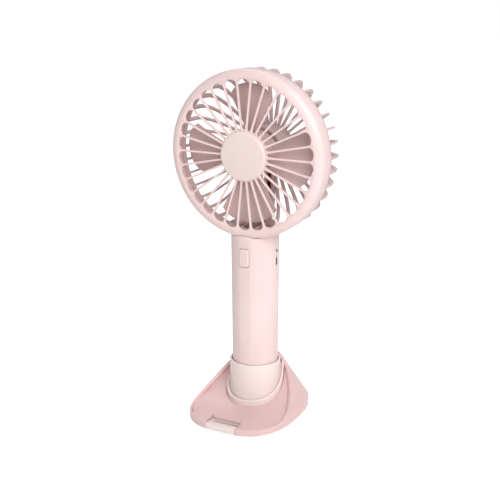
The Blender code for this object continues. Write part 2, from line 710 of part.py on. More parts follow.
def brush(name, side):
    """Spring brush that leans on the commutator from one side."""
    y_front = motor_back_y() - 1.7 * MM
    low = (side * 2.5 * MM, y_front, HEAD_HEIGHT - 0.8 * MM)
    high = (side * 8.0 * MM, y_front + 0.9 * MM, HEAD_HEIGHT + 0.8 * MM)
    ordered_low = [min(a, b) for a, b in zip(low, high)]
    ordered_high = [max(a, b) for a, b in zip(low, high)]
    return part(box(name, ordered_low, ordered_high), "copper")


# ---------------------------------------------------------------- handle

def handle_radius(z):
    return HANDLE_TOP_RADIUS - HANDLE_TAPER * (HANDLE_TOP_Z - z)


def shell_bottom_z():
    return HANDLE_BOTTOM_Z + END_CAP_HEIGHT + GAP


def handle_tube(name):
    top = HANDLE_TOP_Z
    low = shell_bottom_z()
    profile = [(handle_radius(top) - 0.3 * MM, top), (handle_radius(top), top - 0.3 * MM),
               (handle_radius(low), low), (handle_radius(low) - HANDLE_WALL, low),
               (handle_radius(top) - HANDLE_WALL, top)]
    return turned(name, profile)


def head_saddle(name):
    """Room for the front ring and the cage in the top of the handle."""
    back = HANDLE_TOP_RADIUS + 2 * MM
    profile = [(0.0, FACE_Y - 3 * MM), (MOUTH_RADIUS, FACE_Y - 3 * MM)] + ring_profile(GAP)[:-1]
    profile += [(HEAD_RADIUS + GAP, back), (0.0, back)]
    return head_turned(name, profile, ROUND)


def half_space(name, front):
    side = 40 * MM
    seam = GAP / 2
    if front:
        return box(name, (-side, -seam, -side), (side, side, 5 * side))
    return box(name, (-side, -side, -side), (side, seam, 5 * side))


def side_openings(prefix):
    height, width = PORT_NOSE
    slot = flat(prefix + "_port_slot", [rounded_rectangle(width + 2 * GAP, height + 2 * GAP, 1.0 * MM)],
                8 * MM, Matrix.Translation((PORT_X + 1.9 * MM, 0, PORT_Z)) @ side_facing())
    light = rod(prefix + "_light_hole", (10 * MM, 0, LIGHT_Z), (18 * MM, 0, LIGHT_Z),
                LIGHT_RADIUS + GAP, 20)
    return slot, light


def side_facing():
    """Local X to world Y, local Y to world Z, local Z to world X."""
    return Matrix(((0, 0, 1, 0), (1, 0, 0, 0), (0, 1, 0, 0), (0, 0, 0, 1)))


def boss_reach():
    """The screw bosses run into the middle of the shells' wall."""
    return handle_radius(LOWER_SCREW_Z) - HANDLE_WALL / 2


def handle_front_shell():
    shell = handle_tube("handle_front_shell")
    hole = flat("button_hole",
                [rounded_rectangle(BUTTON_WIDTH + 2 * GAP, BUTTON_HEIGHT + 2 * GAP, 2.2 * MM)],
                8 * MM, Matrix.Translation((0, BUTTON_FACE_Y + 1.3 * MM, BUTTON_Z)) @ FRONT_FACING)
    boss = rod("front_boss", (0, -boss_reach(), LOWER_SCREW_Z), (0, -GAP, LOWER_SCREW_Z), 2.6 * MM,
               SMALL_ROUND)
    pilot = rod("front_pilot", (0, -6.6 * MM, LOWER_SCREW_Z), (0, 1 * MM, LOWER_SCREW_Z),
                SCREW_SHANK + RUN, 16)
    cut(shell, half_space("front_half", True), head_saddle("front_saddle"), hole)
    join(shell, boss)
    cut(shell, pilot, *side_openings("front"))
    return part(shell, "shell")


def handle_rear_shell():
    shell = handle_tube("handle_rear_shell")
    tower = rod("rear_tower", (0, GAP, LOWER_SCREW_Z), (0, boss_reach(), LOWER_SCREW_Z), TOWER_RADIUS,
                SMALL_ROUND)
    seat = 4.0 * MM
    counterbore = rod("rear_counterbore", (0, seat, LOWER_SCREW_Z), (0, 20 * MM, LOWER_SCREW_Z),
                      SCREW_HEAD + GAP, 24)
    through = rod("rear_through", (0, -1 * MM, LOWER_SCREW_Z), (0, seat + 1 * MM, LOWER_SCREW_Z),
                  SCREW_SHANK + GAP, 20)
    neck_seat = handle_radius(NECK_SCREW_Z) - 1.1 * MM
    neck_bore = rod("rear_neck_bore", (0, neck_seat, NECK_SCREW_Z), (0, 20 * MM, NECK_SCREW_Z),
                    SCREW_HEAD + GAP, 24)
    neck_through = rod("rear_neck_through", (0, 10 * MM, NECK_SCREW_Z), (0, 16 * MM, NECK_SCREW_Z),
                       SCREW_SHANK + GAP, 20)
    cut(shell, half_space("rear_half", False), head_saddle("rear_saddle"))
    join(shell, tower)
    cut(shell, neck_through, neck_bore, through, counterbore, *side_openings("rear"))
    return part(shell, "shell")


def handle_end_cap():
    low = HANDLE_BOTTOM_Z
    top = low + END_CAP_HEIGHT
    outer = handle_radius(low)
    plug = handle_radius(shell_bottom_z()) - HANDLE_WALL - GAP
    profile = [(0.0, top + END_CAP_PLUG), (plug, top + END_CAP_PLUG), (plug, top), (outer, top),
               (outer, low + 1.4 * MM), (outer - 0.4 * MM, low + 0.4 * MM), (outer - 1.4 * MM, low),
               (0.0, low)]
    return part(turned("handle_end_cap", profile, steps=MID_ROUND), "shell")


def screw(name, seat, direction, length):
    """Pan-head screw with a cross slot. It goes in along direction from its seat."""
    head = SCREW_HEAD_HEIGHT
    profile = [(0.0, head), (SCREW_HEAD * 0.7, head), (SCREW_HEAD, head * 0.4), (SCREW_HEAD, 0.0),
               (SCREW_SHANK, 0.0), (SCREW_SHANK, -length + 1 * MM), (0.0, -length)]
    upright = Vector(direction).to_track_quat("-Z", "Y").to_matrix().to_4x4()
    placed = Matrix.Translation(seat) @ upright
    body = turned(name, profile, placed, TINY_ROUND)
    arm = SCREW_HEAD * 0.62
    slot = 0.3 * MM
    for index, (x, y) in enumerate(((arm, slot), (slot, arm))):
        cutter = box("%s_slot_%d" % (name, index), (-x, -y, head - 0.6 * MM), (x, y, head + 1 * MM))
        cutter.matrix_world = placed
        cut(body, cutter)
    return part(body, "steel")


# ---------------------------------------------------------------- controls and electrics

def flange_y():
    return 3.1 * MM - HANDLE_TOP_RADIUS


def switch_front_y():
    return flange_y() + 0.8 * MM + GAP + 1.1 * MM


def board_front_y():
    return switch_front_y() + 3.4 * MM + GAP


def power_button():
    body_depth = flange_y() - BUTTON_FACE_Y
    body = flat("power_button", [rounded_rectangle(BUTTON_WIDTH, BUTTON_HEIGHT, 2.0 * MM)], body_depth,
                Matrix.Translation((0, BUTTON_FACE_Y + body_depth / 2, BUTTON_Z)) @ FRONT_FACING)
    flange = flat("button_flange", [rounded_rectangle(BUTTON_WIDTH + 2 * BUTTON_FLANGE,
                                                      BUTTON_HEIGHT + 2 * BUTTON_FLANGE, 2.6 * MM)],
                  1.0 * MM, Matrix.Translation((0, flange_y() + 0.3 * MM, BUTTON_Z)) @ FRONT_FACING)
    return part(join(body, flange), "button")


def switch_body():
    half = SWITCH_SIZE / 2
    y = switch_front_y()
    body = box("switch_body", (-half, y, BUTTON_Z - half), (half, board_front_y() - GAP, BUTTON_Z + half))
    well = rod("switch_well", (0, y - 1 * MM, BUTTON_Z), (0, y + 2.4 * MM, BUTTON_Z), 1.75 * MM + RUN * 2, 24)
    return part(cut(body, well), "dark")


def switch_plunger():
    y = switch_front_y()
    return part(rod("switch_plunger", (0, y - 1.1 * MM, BUTTON_Z), (0, y + 1.5 * MM, BUTTON_Z),
                    1.75 * MM, 24), "dark")


def control_board():
    y = board_front_y()
    board = box("control_board", (-BOARD_WIDTH / 2, y, BOARD_LOW_Z),
                (BOARD_WIDTH / 2, y + BOARD_THICKNESS, BOARD_HIGH_Z))
    return part(board, "board")


def charging_port():
    height, width = PORT_NOSE
    y = board_front_y() + BOARD_THICKNESS + GAP
    body = box("charging_port", (PORT_X - 7.1 * MM, y, PORT_Z - height / 2 - 0.8 * MM),
               (PORT_X - 1.1 * MM, width / 2 + 0.6 * MM, PORT_Z + height / 2 + 0.8 * MM))
    nose = flat("port_nose", [rounded_rectangle(width, height, 0.8 * MM)], 3.6 * MM,
                Matrix.Translation((PORT_X, 0, PORT_Z)) @ side_facing())
    mouth = flat("port_mouth", [rounded_rectangle(width - 0.7 * MM, height - 0.7 * MM, 0.5 * MM)],
                 6 * MM, Matrix.Translation((PORT_X - 0.1 * MM, 0, PORT_Z)) @ side_facing())
    join(body, nose)
    return part(cut(body, mouth), "steel")


def light_pipe():
    outer = handle_radius(LIGHT_Z)
    profile = [(0.0, outer + 0.1 * MM), (LIGHT_RADIUS, outer + 0.1 * MM),
               (LIGHT_RADIUS, outer - HANDLE_WALL - GAP), (LIGHT_RADIUS * 1.8, outer - HANDLE_WALL - GAP),
               (LIGHT_RADIUS * 1.8, outer - HANDLE_WALL - GAP - 0.8 * MM),
               (LIGHT_RADIUS, outer - HANDLE_WALL - GAP - 0.8 * MM), (LIGHT_RADIUS, 8.2 * MM),
               (0.0, 8.2 * MM)]
    matrix = Matrix.Translation((0, 0, LIGHT_Z)) @ side_facing()
    return part(turned("light_pipe", profile, matrix, TINY_ROUND), "lens")


def battery_cell():
    low = CELL_LOW_Z
    high = low + CELL_LENGTH
    profile = [(0.0, high), (2.8 * MM, high), (2.8 * MM, high - 1.0 * MM),
               (CELL_RADIUS - 1.0 * MM, high - 1.0 * MM), (CELL_RADIUS, high - 2.0 * MM),
               (CELL_RADIUS, low + 0.6 * MM), (CELL_RADIUS - 0.6 * MM, low), (0.0, low)]
    return part(turned("battery_cell", profile, Matrix.Translation((0, CELL_Y, 0)), SMALL_ROUND), "cell")


def battery_cradle():
    """Half tube behind the cell."""
    inner = CELL_RADIUS + GAP
    outer = inner + CRADLE_WALL
    outline = arc((0, 0), outer, 0, 180, 10) + arc((0, 0), inner, 180, 0, 10)
    length = CELL_LENGTH - 4 * MM
    placed = Matrix.Translation((0, CELL_Y, CELL_LOW_Z + CELL_LENGTH / 2))
    return part(flat("battery_cradle", [outline], length, placed), "dark")


def contact(name, z):
    low = (-4.0 * MM, CELL_Y - 3.0 * MM, z)
    high = (4.0 * MM, CELL_Y + 3.0 * MM, z + TAB_THICKNESS)
    return part(box(name, low, high), "steel")


def lead(name, side, finish):
    """Motor lead from the board up the neck and the lowest rib to the back of the motor."""
    x = side * (LEAD_RADIUS + 0.2 * MM)
    bend = CHANNEL_WALL + GAP + LEAD_RADIUS
    route = [(x * 3, 1.0 * MM, BOARD_HIGH_Z - 3 * MM), (x * 2, 1.6 * MM, HANDLE_TOP_Z - 6 * MM),
             (x, 2.4 * MM, HANDLE_TOP_Z - 2 * MM)]
    rib = cage_curve(bend + 0.5 * MM, 12)
    route.append((x, 2.9 * MM, HEAD_HEIGHT - rib[0][0]))
    for radius, y in rib[1:-2]:
        route.append((x, y, HEAD_HEIGHT - radius))
    end_y = rib[-1][1]
    route.append((x, end_y, HEAD_HEIGHT - HUB_RADIUS))
    route.append((x, end_y, HEAD_HEIGHT - HUB_RADIUS + 4 * MM))
    route.append((side * 3 * MM, end_y, HEAD_HEIGHT - 6 * MM))
    curve = bpy.data.curves.new(name, "CURVE")
    curve.dimensions = "3D"
    curve.bevel_depth = LEAD_RADIUS
    curve.bevel_resolution = 1
    curve.use_fill_caps = True
    spline = curve.splines.new("POLY")
    spline.points.add(len(route) - 1)
    for point, place in zip(spline.points, route):
        point.co = (*place, 1.0)
    return part(new_object(name, curve, CUTTERS), finish)


# ---------------------------------------------------------------- stand

def foot_point(angle, inset):
    """Point of the foot's outline, a squared oval, from its own centre."""
    c = math.cos(angle)
    s = math.sin(angle)
    power = 2.0 / FOOT_SQUARENESS
    return ((FOOT_HALF_WIDTH - inset) * math.copysign(abs(c) ** power, c),
            (FOOT_HALF_DEPTH - inset) * math.copysign(abs(s) ** power, s))


def stand_section(blend, top_radius, inset):
    """Closed outline between the round top (blend 0) and the foot (blend 1)."""
    points = []
    for index in range(FOOT_POINTS):
        angle = 2 * math.pi * (index + 0.5) / FOOT_POINTS
        x, y = foot_point(angle, inset)
        direction = math.atan2(y, x)
        points.append((x * blend + top_radius * math.cos(direction) * (1 - blend),
                       (y + FOOT_CENTRE_Y) * blend + top_radius * math.sin(direction) * (1 - blend)))
    return points


def stand_body(name, top_radius, inset, low, high):
    """Closed loft of the flared stand between two heights."""
    levels = [high]
    if high > CUP_TOP_Z:
        levels.append(CUP_TOP_Z)
    shoulder = FOOT_RIM_Z + 1.0 * MM
    levels += [shoulder, FOOT_RIM_Z, low]
    bm = bmesh.new()
    loops = []
    for z in levels:
        blend = min(1.0, max(0.0, (CUP_TOP_Z - z) / (CUP_TOP_Z - FOOT_RIM_Z)))
        if z == shoulder:
            blend *= 0.995
        ring = [bm.verts.new((x, y, z)) for x, y in stand_section(blend, top_radius, inset)]
        edges = [bm.edges.new((ring[i], ring[(i + 1) % len(ring)])) for i in range(len(ring))]
        loops.append(edges)
    for upper, lower in zip(loops, loops[1:]):
        bmesh.ops.bridge_loops(bm, edges=upper + lower)
    bmesh.ops.edgeloop_fill(bm, edges=loops[0])
    bmesh.ops.edgeloop_fill(bm, edges=loops[-1])
    bmesh.ops.recalc_face_normals(bm, faces=bm.faces)
    return mesh_object(name, bm)


def scoop_height(y):
    share = min(1.0, max(0.0, (y - SCOOP_FRONT_Y) / (SCOOP_TOP_Y - SCOOP_FRONT_Y)))
    return FOOT_RIM_Z + (CUP_TOP_Z - FOOT_RIM_Z) * share ** SCOOP_POWER


def deck_height(y):
    share = min(1.0, max(0.0, (y - SCOOP_FRONT_Y) / (SCOOP_TOP_Y - SCOOP_FRONT_Y)))
    return DECK_FRONT_Z + (DECK_TOP_Z - DECK_FRONT_Z) * share ** DECK_POWER


def slope(height, lift=0.0, steps=14):
    """Points (y, z) along the scoop's or the deck's slope, level in front of it and steep behind."""
    points = [(-60 * MM, height(SCOOP_FRONT_Y) + lift)]
    for index in range(steps + 1):
        y = SCOOP_FRONT_Y + (SCOOP_TOP_Y - SCOOP_FRONT_Y) * index / steps
        points.append((y, height(y) + lift))
    return points + [(SCOOP_TOP_Y + 0.5 * MM, 60 * MM)]


def above(name, height, lift=0.0):
    """All the room above a slope."""
    return across(name, slope(height, lift) + [(-60 * MM, 60 * MM)], 60 * MM)


def across(name, outline, half_width):
    """Extrude a (y, z) outline along X."""
    return flat(name, [outline], 2 * half_width, side_facing())


def notch(name, grow=0.0):
    half = NOTCH_WIDTH / 2 + grow
    return box(name, (-half, -60 * MM, -5 * MM), (half, NOTCH_BACK_Y + grow, 20 * MM))


def base_skirt():
    skirt = stand_body("base_skirt", SKIRT_TOP_RADIUS, 0.0, FOOT_EDGE_Z, CUP_TOP_Z)
    room = stand_body("skirt_room", cup_radius() + GAP, SKIRT_WALL, -2 * MM, CUP_TOP_Z + 2 * MM)
    return part(cut(skirt, room, above("skirt_scoop", scoop_height), notch("skirt_notch")), "skirt")


def base_deck():
    inset = SKIRT_WALL + GAP
    deck = stand_body("base_deck", cup_radius(), inset, FOOT_EDGE_Z + 1 * MM, CUP_TOP_Z)
    top = slope(deck_height)[:-1]
    outline = top + [(y, z - DECK_THICKNESS) for y, z in reversed(top)]
    combine(deck, across("deck_sheet", outline, 60 * MM), "INTERSECT")
    hole = rod("deck_hole", (0, 0, 0), (0, 0, 50 * MM), shoulder_radius() + GAP, ROUND)
    return part(cut(deck, hole, behind("deck_end"), notch("deck_notch", GAP)), "skirt")


def behind(name):
    """The room behind the ends of the deck and of the cup's shoulder."""
    return box(name, (-60 * MM, SHOULDER_BACK_Y, -5 * MM), (60 * MM, 60 * MM, 60 * MM))


def cup_radius():
    return handle_radius(CUP_TOP_Z) + DROP_FIT + CUP_WALL


def shoulder_radius():
    return cup_radius() + SHOULDER_REACH


def stem_low_z():
    return PAD_THICKNESS + 2 * GAP + PLATE_THICKNESS


def cup_shoulder():
    """Thicker foot of the cup in front, cut off along the deck's slope, with a groove behind its lip."""
    low = stem_low_z()
    high = CUP_TOP_Z + 5 * MM
    ring = rod("cup_shoulder", (0, 0, low), (0, 0, high), shoulder_radius(), ROUND)
    core = rod("shoulder_core", (0, 0, 0), (0, 0, high + 1 * MM), cup_radius() - CUP_WALL / 2, MID_ROUND)
    groove = rod("shoulder_groove", (0, 0, 0), (0, 0, high + 1 * MM), cup_radius() + GROOVE_WIDTH, ROUND)
    combine(groove, above("groove_room", deck_height, SHOULDER_RISE - GROOVE_DEPTH), "INTERSECT")
    cut(ring, above("shoulder_top", deck_height, SHOULDER_RISE), behind("shoulder_end"), core)
    return cut(ring, groove)


def base_cup():
    outer = cup_radius()
    bore = outer - CUP_WALL
    stem_low = stem_low_z()
    floor = HANDLE_BOTTOM_Z - GAP
    cup = turned("base_cup", [
        (0.0, floor), (bore, floor), (bore, CUP_TOP_Z), (outer - 0.4 * MM, CUP_TOP_Z),
        (outer, CUP_TOP_Z - 0.4 * MM), (outer, stem_low + 0.2 * MM), (0.0, stem_low + 0.2 * MM)])
    join(cup, cup_shoulder())
    pocket = rod("cup_pocket", (0, 0, 0), (0, 0, POCKET_TOP_Z), shoulder_radius() - SHOULDER_WALL, ROUND)
    cut(pocket, rod("cup_stem", (0, 0, -1 * MM), (0, 0, 10 * MM), CUP_STEM_RADIUS, MID_ROUND))
    cut(cup, pocket)
    for index in range(3):
        x, y = stand_screw_place(index)
        hole = rod("cup_pilot_%d" % index, (x, y, 0), (x, y, stem_low + 4.6 * MM), SCREW_SHANK + RUN, TINY_ROUND)
        cut(cup, hole)
    return part(cup, "cup")


def stand_screw_place(index):
    angle = math.radians(90.0 + 120.0 * index)
    return STAND_SCREW_CIRCLE * math.cos(angle), STAND_SCREW_CIRCLE * math.sin(angle)


def base_plate():
    low = PAD_THICKNESS + GAP
    high = low + PLATE_THICKNESS
    outline = [(x, y + FOOT_CENTRE_Y) for x, y in
               (foot_point(2 * math.pi * (index + 0.5) / FOOT_POINTS, SKIRT_WALL + GAP)
                for index in range(FOOT_POINTS))]
    placed = Matrix.Translation((0, 0, (low + high) / 2))
    plate = flat("base_plate", [outline], PLATE_THICKNESS, placed)
    tongue_outline = [(x, y + FOOT_CENTRE_Y) for x, y in
                      (foot_point(2 * math.pi * (index + 0.5) / FOOT_POINTS, 0.2 * MM)
                       for index in range(FOOT_POINTS))]
    tongue_high = low + TAB_HEIGHT
    tongue = flat("plate_tongue", [tongue_outline], tongue_high - low - 0.1 * MM,
                  Matrix.Translation((0, 0, (low + tongue_high) / 2)))
    half = NOTCH_WIDTH / 2 - GAP
    window = box("tongue_window", (-half, -60 * MM, -5 * MM), (half, TAB_BACK_Y, 20 * MM))
    combine(tongue, window, "INTERSECT")
    slot = box("plate_slot", (SLOT_MARGIN - half, TAB_BACK_Y, 0.0),
               (half - SLOT_MARGIN, NOTCH_BACK_Y - GAP, 10 * MM))
    cut(plate, slot)
    join(plate, tongue)
    for index in range(3):
        x, y = stand_screw_place(index)
        seat = low + SCREW_HEAD_HEIGHT + 0.1 * MM
        head = rod("plate_counterbore_%d" % index, (x, y, -1 * MM), (x, y, seat), SCREW_HEAD + GAP, TINY_ROUND)
        shank = rod("plate_hole_%d" % index, (x, y, 0), (x, y, 10 * MM), SCREW_SHANK + GAP, TINY_ROUND)
        cut(plate, head, shank)
    return part(plate, "cup")


def base_pad():
    outline = [(x, y + FOOT_CENTRE_Y) for x, y in
               (foot_point(2 * math.pi * (index + 0.5) / FOOT_POINTS, SKIRT_WALL + 2.0 * MM)
                for index in range(FOOT_POINTS))]
    return part(flat("base_pad", [outline], PAD_THICKNESS, Matrix.Translation((0, 0, PAD_THICKNESS / 2))),
                "rubber")


# ---------------------------------------------------------------- assembly

def build_head():
    front_grille()
    grille_cap()
    rear_cage()
    rear_hub_cap()
    impeller()
    motor_can()
    motor_end_bell()
    bushing("motor_bush_front", MOTOR_FRONT_Y - 1.2 * MM, 2.4 * MM)
    bushing("motor_bush_rear", motor_back_y() + GAP, BELL_THICKNESS)
    motor_shaft()
    armature()
    for index in range(3):
        winding(index)
    commutator()
    magnet("motor_magnet_left", 180.0)
    magnet("motor_magnet_right", 0.0)
    brush("motor_brush_left", -1)
    brush("motor_brush_right", 1)


def build_handle():
    handle_front_shell()
    handle_rear_shell()
    handle_end_cap()
    screw("handle_screw", (0, 4.0 * MM + 0.1 * MM, LOWER_SCREW_Z), (0, -1, 0), 8 * MM)
    screw("neck_screw", (0, handle_radius(NECK_SCREW_Z) - 1.0 * MM, NECK_SCREW_Z), (0, -1, 0), 5.5 * MM)
    power_button()
    switch_body()
    switch_plunger()
    control_board()
    charging_port()
    light_pipe()
    battery_cell()
    battery_cradle()
    contact("battery_contact_top", CELL_LOW_Z + CELL_LENGTH + GAP)
    contact("battery_contact_bottom", CELL_LOW_Z - GAP - TAB_THICKNESS)
    lead("motor_lead_red", 1, "lead_red")
    lead("motor_lead_black", -1, "lead_black")


def build_stand():
    base_skirt()
    base_deck()
    base_cup()
    base_plate()
    base_pad()
    for index in range(3):
        x, y = stand_screw_place(index)
        seat = PAD_THICKNESS + GAP + SCREW_HEAD_HEIGHT
        screw("base_screw_%d" % (index + 1), (x, y, seat), (0, 0, 1), 5.0 * MM)


build_head()
build_handle()
build_stand()
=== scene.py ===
import json
import math

import bmesh
import bpy
from bpy.props import FloatProperty, FloatVectorProperty, IntProperty, PointerProperty
from mathutils import Matrix, Vector


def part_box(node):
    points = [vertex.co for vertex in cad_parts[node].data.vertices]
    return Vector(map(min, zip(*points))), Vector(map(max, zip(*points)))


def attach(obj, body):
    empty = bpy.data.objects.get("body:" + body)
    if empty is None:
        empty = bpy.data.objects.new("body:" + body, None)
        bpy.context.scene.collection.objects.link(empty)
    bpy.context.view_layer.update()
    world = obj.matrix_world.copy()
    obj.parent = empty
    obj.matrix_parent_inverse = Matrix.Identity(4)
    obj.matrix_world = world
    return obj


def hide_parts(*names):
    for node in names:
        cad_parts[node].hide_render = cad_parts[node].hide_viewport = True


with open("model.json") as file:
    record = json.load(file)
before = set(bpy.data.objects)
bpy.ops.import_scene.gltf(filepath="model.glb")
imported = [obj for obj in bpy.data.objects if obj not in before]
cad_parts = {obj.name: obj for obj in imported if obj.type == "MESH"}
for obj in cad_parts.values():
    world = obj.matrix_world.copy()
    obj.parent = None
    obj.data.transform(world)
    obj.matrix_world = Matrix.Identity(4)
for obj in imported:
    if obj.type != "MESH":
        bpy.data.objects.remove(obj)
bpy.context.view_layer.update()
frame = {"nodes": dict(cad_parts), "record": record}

bl_info = {
    "name": "Handheld fan",
    "version": (1, 0, 0),
    "blender": (4, 5, 0),
    "location": "3D View > Sidebar > Fan",
    "description": "Builds the finished shapes and surfaces of a handheld fan in its stand",
    "category": "Object",
}

MM = 0.001

# Places taken from the frame. The head turns about Y, the handle and the stand about Z.
GRILLE_LOW, GRILLE_HIGH = (Vector(corner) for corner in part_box("front_grille"))
CAP_LOW, CAP_HIGH = (Vector(corner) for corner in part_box("grille_cap"))
REAR_CAP_LOW, REAR_CAP_HIGH = (Vector(corner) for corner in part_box("rear_hub_cap"))
SHELL_LOW, SHELL_HIGH = (Vector(corner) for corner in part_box("handle_front_shell"))
END_LOW, END_HIGH = (Vector(corner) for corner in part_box("handle_end_cap"))
BUTTON_LOW, BUTTON_HIGH = (Vector(corner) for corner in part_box("power_button"))
PORT_LOW, PORT_HIGH = (Vector(corner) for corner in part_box("charging_port"))
LIGHT_LOW, LIGHT_HIGH = (Vector(corner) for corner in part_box("light_pipe"))
SKIRT_LOW, SKIRT_HIGH = (Vector(corner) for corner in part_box("base_skirt"))
CUP_LOW, CUP_HIGH = (Vector(corner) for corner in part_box("base_cup"))
IMPELLER_LOW, IMPELLER_HIGH = (Vector(corner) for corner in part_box("impeller"))

HEAD_Z = (GRILLE_LOW.z + GRILLE_HIGH.z) / 2
HEAD_RADIUS = GRILLE_HIGH.x
RING_BACK = GRILLE_HIGH.y
FACE = GRILLE_LOW.y
HEAD_TURN = Matrix.Translation((0, 0, HEAD_Z)) @ Matrix.Rotation(math.radians(90), 4, "X")

FAR = 60 * MM                     # past every piece, for cutters
SPOKE_DEPTH = 1.9 * MM
GRILLE_HUB = 3.4 * MM             # hole in the middle of the spoke plate
PIN_RADIUS = 2.9 * MM             # pin behind the grille's cap
CAP_THICKNESS = 1.45 * MM
CAGE_FRONT_DEPTH = 2.6 * MM       # ring that carries the ribs
MOTOR_CUP_FRONT = 6.4 * MM
NECK_WALL = 4.0 * MM
NECK_REACH = 8.0 * MM             # how far the neck goes up behind the ring

WHEEL_HUB = 14.0 * MM
WHEEL_WALL = 1.3 * MM
WHEEL_DEPTH = 15.5 * MM
WHEEL_ROUND = 2.4 * MM
SHAFT_SOCKET = 1.1 * MM
SOCKET_WALL = 3.0 * MM
BLADE_ROOT = 13.1 * MM
BLADE_DEPTH = 11.0 * MM
BLADE_MIDDLE = 6.3 * MM           # behind the impeller's front
BLADE_SPREAD = 51.0               # degrees at the tip
BLADE_TURN = -1.0                 # degrees, of the first blade
BLADE_THICKNESS = 1.15 * MM

BUTTON_WIDTH = 6.4 * MM
BUTTON_HEIGHT = 11.5 * MM
PORT_WIDTH = 2.0 * MM
PORT_HEIGHT = 5.0 * MM
LIGHT_RADIUS = 0.85 * MM

FOOT_RIM = 4.6 * MM
SCOOP_FRONT = -40.0 * MM
SCOOP_TOP = 13.6 * MM
SCOOP_POWER = 2.35
NOTCH_HALF = 10.3 * MM
NOTCH_BACK = -38.1 * MM
DECK_FRONT = 4.3 * MM
DECK_TOP = 30.6 * MM
DECK_POWER = 3.0
DECK_SPAN = 246.0                 # degrees about the handle
DECK_WALL = 1.4 * MM
SKIRT_WALL = 2.0 * MM
SKIRT_TOP_RADIUS = 17.9 * MM
SKIRT_RIM_SHARE = 0.75            # share of the skirt's grid above its rim
SHOULDER_BACK = 10.2 * MM
SHOULDER_REACH = 2.2 * MM
SHOULDER_RISE = 3.6 * MM
CUP_WALL = 1.35 * MM


# ---------------------------------------------------------------- sizes and colours a user would change

class FanSizes(bpy.types.PropertyGroup):
    """Sizes of the visible details"""
    spokes: IntProperty(name="Spokes", description="Straight bars of the front grille", default=30, min=12)
    ribs: IntProperty(name="Ribs", description="Curved bars of the rear cage", default=36, min=12)
    blades: IntProperty(name="Blades", description="Blades of the impeller", default=4, min=3)
    ring_face: FloatProperty(
        name="Ring face", description="Width of the rounded front of the head's ring",
        default=5.4 * MM, unit="LENGTH")
    ring_round: FloatProperty(
        name="Ring depth", description="Depth of the rounded front of the head's ring",
        default=3.9 * MM, unit="LENGTH")
    spoke_width: FloatProperty(
        name="Spoke width", description="Width of a grille spoke", default=1.15 * MM, unit="LENGTH")
    rib_width: FloatProperty(
        name="Rib width", description="Thickness of a cage rib", default=1.3 * MM, unit="LENGTH")
    rib_depth: FloatProperty(
        name="Rib depth", description="Radial depth of a cage rib", default=3.2 * MM, unit="LENGTH")
    shell_wall: FloatProperty(
        name="Shell wall", description="Wall of the handle's shells", default=1.8 * MM, unit="LENGTH")
    seam: FloatProperty(
        name="Seam", description="Gap between neighbouring mouldings", default=0.3 * MM, unit="LENGTH")


class FanColours(bpy.types.PropertyGroup):
    """Colours of the mouldings"""
    shell: FloatVectorProperty(
        name="Shell", description="Pale pink of the ring, cage and handle", subtype="COLOR",
        default=(0.88, 0.69, 0.68), min=0, max=1)
    cap: FloatVectorProperty(
        name="Cap", description="Very pale pink of the grille's cap", subtype="COLOR",
        default=(0.90, 0.735, 0.70), min=0, max=1)
    # The blades' dusty rose is darker than the shell pink; part of that darkness is painted shade from
    # inside the head.
    blade: FloatVectorProperty(
        name="Blades", description="Dusty rose of the impeller", subtype="COLOR",
        default=(0.61, 0.445, 0.435), min=0, max=1)
    skirt: FloatVectorProperty(
        name="Skirt", description="Dusty pink of the stand", subtype="COLOR",
        default=(0.80, 0.56, 0.55), min=0, max=1)
    cup: FloatVectorProperty(
        name="Cup", description="Pale pink of the cup and the base plate", subtype="COLOR",
        default=(0.92, 0.775, 0.75), min=0, max=1)


def sizes():
    return bpy.context.scene.fan_sizes


def colours():
    return bpy.context.scene.fan_colours


# ---------------------------------------------------------------- shader node groups

def group_tree(name, inputs, outputs):
    """Start a node group with named value inputs and outputs. Returns tree, input node, output node."""
    tree = bpy.data.node_groups.new(name, "ShaderNodeTree")
    for label, default in inputs:
        kind = "NodeSocketColor" if isinstance(default, tuple) else "NodeSocketFloat"
        socket = tree.interface.new_socket(name=label, in_out="INPUT", socket_type=kind)
        socket.default_value = (*default, 1.0) if isinstance(default, tuple) else default
    for label, kind in outputs:
        tree.interface.new_socket(name=label, in_out="OUTPUT", socket_type=kind)
    return tree, tree.nodes.new("NodeGroupInput"), tree.nodes.new("NodeGroupOutput")


def add(tree, kind, **values):
    """Add a node and set its attributes and, by socket name, its input values."""
    node = tree.nodes.new("ShaderNode" + kind)
    for key, value in values.items():
        if hasattr(node, key):
            setattr(node, key, value)
        else:
            node.inputs[key.replace("_", " ")].default_value = value
    return node


def mould_grain():
    """Fine spark-eroded texture of a steel mould with faint flow waves. Puts out a height."""
    tree, source, target = group_tree(
        "mould_grain", [("Grain", 2600.0), ("Waves", 0.35)], [("Height", "NodeSocketFloat")])
    place = add(tree, "TexCoord")
    fine = add(tree, "TexNoise", Detail=3.0, Roughness=0.6)
    wave = add(tree, "TexNoise", Scale=55.0, Detail=1.0)
    mix = add(tree, "Math", operation="MULTIPLY_ADD")
    link = tree.links.new
    link(place.outputs["Object"], fine.inputs["Vector"])
    link(place.outputs["Object"], wave.inputs["Vector"])
    link(source.outputs["Grain"], fine.inputs["Scale"])
    link(wave.outputs["Fac"], mix.inputs[0])
    link(source.outputs["Waves"], mix.inputs[1])
    link(fine.outputs["Fac"], mix.inputs[2])
    link(mix.outputs[0], target.inputs["Height"])
    return tree


